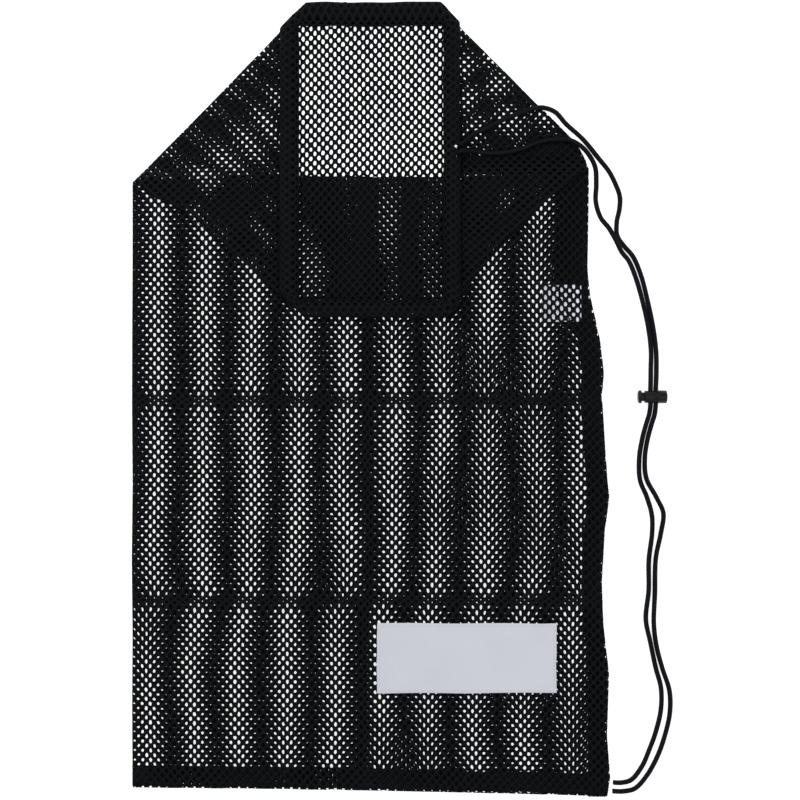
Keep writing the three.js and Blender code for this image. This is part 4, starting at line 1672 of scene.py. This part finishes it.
@dataclass(frozen=True)
class Stitches:
    """A row of short stitches along a line."""

    name: str
    slot: str
    length: float = 2.3
    gap: float = 1.0
    width: float = 0.5
    arch: float = 0.25
    rings: int = 7
    sides: int = 8

    def build(
        self, line: Array, height: Callable[[Array, Array], Array], material: bpy.types.Material
    ) -> bpy.types.Object:
        """Makes the stitches as small arched beads.

        Args:
            line: The row's corners in the plane.
            height: Gives the height of the cloth.
            material: The thread's finish.

        Returns:
            The new object.
        """
        steps = np.linalg.norm(np.diff(line, axis=0), axis=1)
        way = np.concatenate([[0.0], np.cumsum(steps)])
        place = np.arange(self.gap, way[-1] - self.length, self.length + self.gap)
        s = np.linspace(0.0, 1.0, self.rings)
        along = place[:, None] + s[None] * self.length
        x = np.interp(along, way, line[:, 0])
        y = np.interp(along, way, line[:, 1])
        dx, dy = np.gradient(x, axis=1), np.gradient(y, axis=1)
        size = np.maximum(np.hypot(dx, dy), TINY)
        angle = np.arange(self.sides) * 2.0 * math.pi / self.sides
        radius = self.width / 2.0 * np.sqrt(np.clip(1.0 - (2.0 * s - 1.0) ** 2, 0.02, 1.0))
        reach = radius[None, :, None] * np.cos(angle)
        px = x[..., None] - (dy / size)[..., None] * reach
        py = y[..., None] + (dx / size)[..., None] * reach
        arch = height(x, y) + self.arch * np.sin(math.pi * s)
        pz = arch[..., None] + radius[None, :, None] * np.sin(angle)
        points = np.stack([px, py, pz], axis=-1).reshape(-1, 3)
        one = grid_faces(self.rings, self.sides, closed=True)[:, ::-1]
        start = np.arange(len(place))[:, None, None] * self.rings * self.sides
        sides = (one[None] + start).reshape(-1, 4)
        ring = np.arange(self.sides)
        ends = np.array([ring, ring[::-1] + (self.rings - 1) * self.sides])
        caps = (ends[None] + start).reshape(-1, self.sides)
        return make_piece(self.name, points, [sides, caps], material)


# Studio


@dataclass(frozen=True)
class Studio:
    """Camera, lights and floor: the bag is seen from straight above."""

    centre: float = 0.0285
    distance: float = 1.889
    lens: float = 85.0
    sensor: float = 36.0
    even_light: float = 0.42
    floor_half: float = 4.0

    def camera(self) -> None:
        """Makes the camera, which looks straight down."""
        data = bpy.data.cameras.new("camera")
        data.lens, data.sensor_width = self.lens, self.sensor
        data.clip_start, data.clip_end = 0.05, 20.0
        data.dof.use_dof = False
        camera = bpy.data.objects.new("camera", data)
        camera.location = (self.centre, 0.0, self.distance)
        bpy.context.scene.collection.objects.link(camera)
        bpy.context.scene.camera = camera

    def lights(self) -> None:
        """Makes the soft light over the bag and the even light round it."""
        world = bpy.data.worlds.new("world")
        world.use_nodes = True
        background = world.node_tree.nodes["Background"]
        background.inputs["Color"].default_value = (1.0, 1.0, 1.0, 1.0)
        background.inputs["Strength"].default_value = self.even_light
        bpy.context.scene.world = world
        for name, place, size, power in (
            ("key_light", (-0.9, 1.0, 1.9), 1.4, 18.5),
            ("fill_light", (1.2, -0.5, 2.1), 1.8, 9.2),
        ):
            data = bpy.data.lights.new(name, "AREA")
            data.shape, data.size, data.energy = "SQUARE", size, power
            light = bpy.data.objects.new(name, data)
            light.location = place
            aim = np.array(place)
            aim = aim / np.linalg.norm(aim)
            light.rotation_euler = (math.acos(aim[2]), 0.0, math.atan2(aim[0], -aim[1]))
            bpy.context.scene.collection.objects.link(light)

    def floor(self, material: bpy.types.Material) -> None:
        """Makes the white floor, which isn't part of the bag.

        Args:
            material: The floor's finish.
        """
        mesh = bpy.data.meshes.new("floor")
        half = self.floor_half
        ring = [(-half, -half, 0.0), (half, -half, 0.0), (half, half, 0.0), (-half, half, 0.0)]
        mesh.from_pydata(ring, [], [(0, 1, 2, 3)])
        mesh.materials.append(material)
        floor = bpy.data.objects.new("floor", mesh)
        bpy.context.scene.collection.objects.link(floor)


@dataclass(frozen=True)
class GearBag:
    """The whole bag: its layout, hem and lock, and where its cords, label and tag lie."""

    layout: Layout = Layout()
    hem: MouthHem = MouthHem()
    lock: CordLock = CordLock()
    channel_rise: float = 4.1
    label_rise: float = 1.15
    stitch_rise: float = 0.3
    tag_rise: float = 2.45
    tag_fold: float = 185.5

    def cords(self) -> list[BraidedCord]:
        """The two free strands of the draw cord."""
        return [
            BraidedCord("cord_strand_upper", "draw_cord_upper", UPPER_ROUTE),
            BraidedCord("cord_strand_lower", "draw_cord_lower", LOWER_ROUTE),
        ]

    def channel(self) -> BraidedCord:
        """The cord's stretch inside the hem, from one side of the exit round to the other.

        Returns:
            The cord.
        """
        corners = (
            (80.0, 269.3), (80.0, 300.0), (80.0, 340.0), (79.0, 371.0), (66.0, 384.0),
            (30.0, 385.0), (-20.0, 385.0), (-62.0, 384.0), (-80.5, 366.0), (-81.75, 330.0),
            (-81.75, 280.0), (-81.75, 230.0), (-81.75, 170.0), (-81.0, 116.0), (-66.0, 92.5),
            (-30.0, 91.0), (20.0, 91.0), (65.0, 91.5), (79.0, 100.0), (80.0, 130.0),
            (80.0, 180.0), (80.0, 228.7),
        )
        x, y = np.array(corners).T
        z = self.hem.floor_under(y) + self.channel_rise
        route = tuple(zip((x * MM).tolist(), (y * MM).tolist(), (z * MM).tolist()))
        return BraidedCord("cord_in_hem", "channel_cord", route, sides=12, spacing=2.0)

    def label_height(self, x: Array, y: Array) -> Array:
        """Height of the label's middle: on the front, with slanting wrinkles to the right."""
        wrinkle = 0.3 * np.sin((x * 0.75 + y * 0.66) / 5.2) * smooth_step((x - 70.0) / 60.0)
        uneven = 0.12 * waves(x, y, 71, 35.0)
        return self.layout.front(x, y) + self.label_rise + wrinkle + uneven

    def stitch_height(self, x: Array, y: Array) -> Array:
        """Height of the stitches' middle: on the label's upper face."""
        return self.label_height(x, y) + self.stitch_rise

    def tag_height(self, x: Array, y: Array) -> Array:
        """Height of the tag's middle: on the seam inside the bag, with one fold line."""
        fold = 0.25 * np.exp(-(((x - self.tag_fold) / 1.5) ** 2))
        return self.layout.back(x, y) + self.tag_rise + fold

    def label(self) -> Patch:
        """The bare white patch on the front."""
        return Patch(
            "label_woven", "label_patch", "label", 5.5, 184.5, -292.0, -222.3, 0.6, self.label_height
        )

    def tag(self) -> Patch:
        """The small bare tag by the right seam."""
        return Patch(
            "tag_woven", "side_tag", "label", 170.5, 209.5, 78.0, 115.0, 0.4, self.tag_height, 0.3
        )

    def stitch_line(self) -> Array:
        """The line of stitches round the label.

        Returns:
            Its corners, the first one repeated at the end.
        """
        left, right, low, high = 8.3, 181.7, -289.3, -225.2
        return np.array([(left, low), (right, low), (right, high), (left, high), (left, low)])


def report(pieces: Sequence[bpy.types.Object]) -> None:
    """Logs each piece with its number of faces."""
    for piece in pieces:
        LOG.info("%s: %d faces", piece.name, len(piece.data.polygons))


def main() -> None:
    """Builds the bag piece by piece."""
    logging.basicConfig(level=logging.INFO, format="%(name)s %(message)s")
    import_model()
    scene = bpy.context.scene
    scene.view_settings.view_transform = "Standard"
    scene.view_settings.look = "None"

    bag = GearBag()
    studio = Studio()
    studio.camera()

    plastic = PlasticFinish().build("lock_plastic")
    braid = BraidFinish().build("cord_braid")
    net = NetFinish().build("net_yarn")
    label_cloth = WovenFinish().build("label_cloth")
    tag_cloth = WovenFinish(colour=(0.70, 0.70, 0.76), glow=0.42).build("tag_cloth")

    lock = bag.lock.build(plastic)
    report(lock)
    upper, lower = bag.cords()
    report([upper.build(braid, True, lock)])
    report([lower.build(braid, True)])
    report([bag.channel().build(braid, False)])

    report(SackNet().build(bag.layout, net))
    report(SeamAllowances().build(bag.layout, net))
    report(bag.hem.build(net))
    report([bag.label().build(label_cloth)])
    thread = WovenFinish(colour=(0.72, 0.73, 0.78)).build("label_thread")
    stitches = Stitches("label_stitches", "label")
    report([stitches.build(bag.stitch_line(), bag.stitch_height, thread)])
    report([bag.tag().build(tag_cloth)])

    studio.floor(FloorFinish().build("floor_white"))
    studio.lights()


if __name__ == "__main__":
    main()
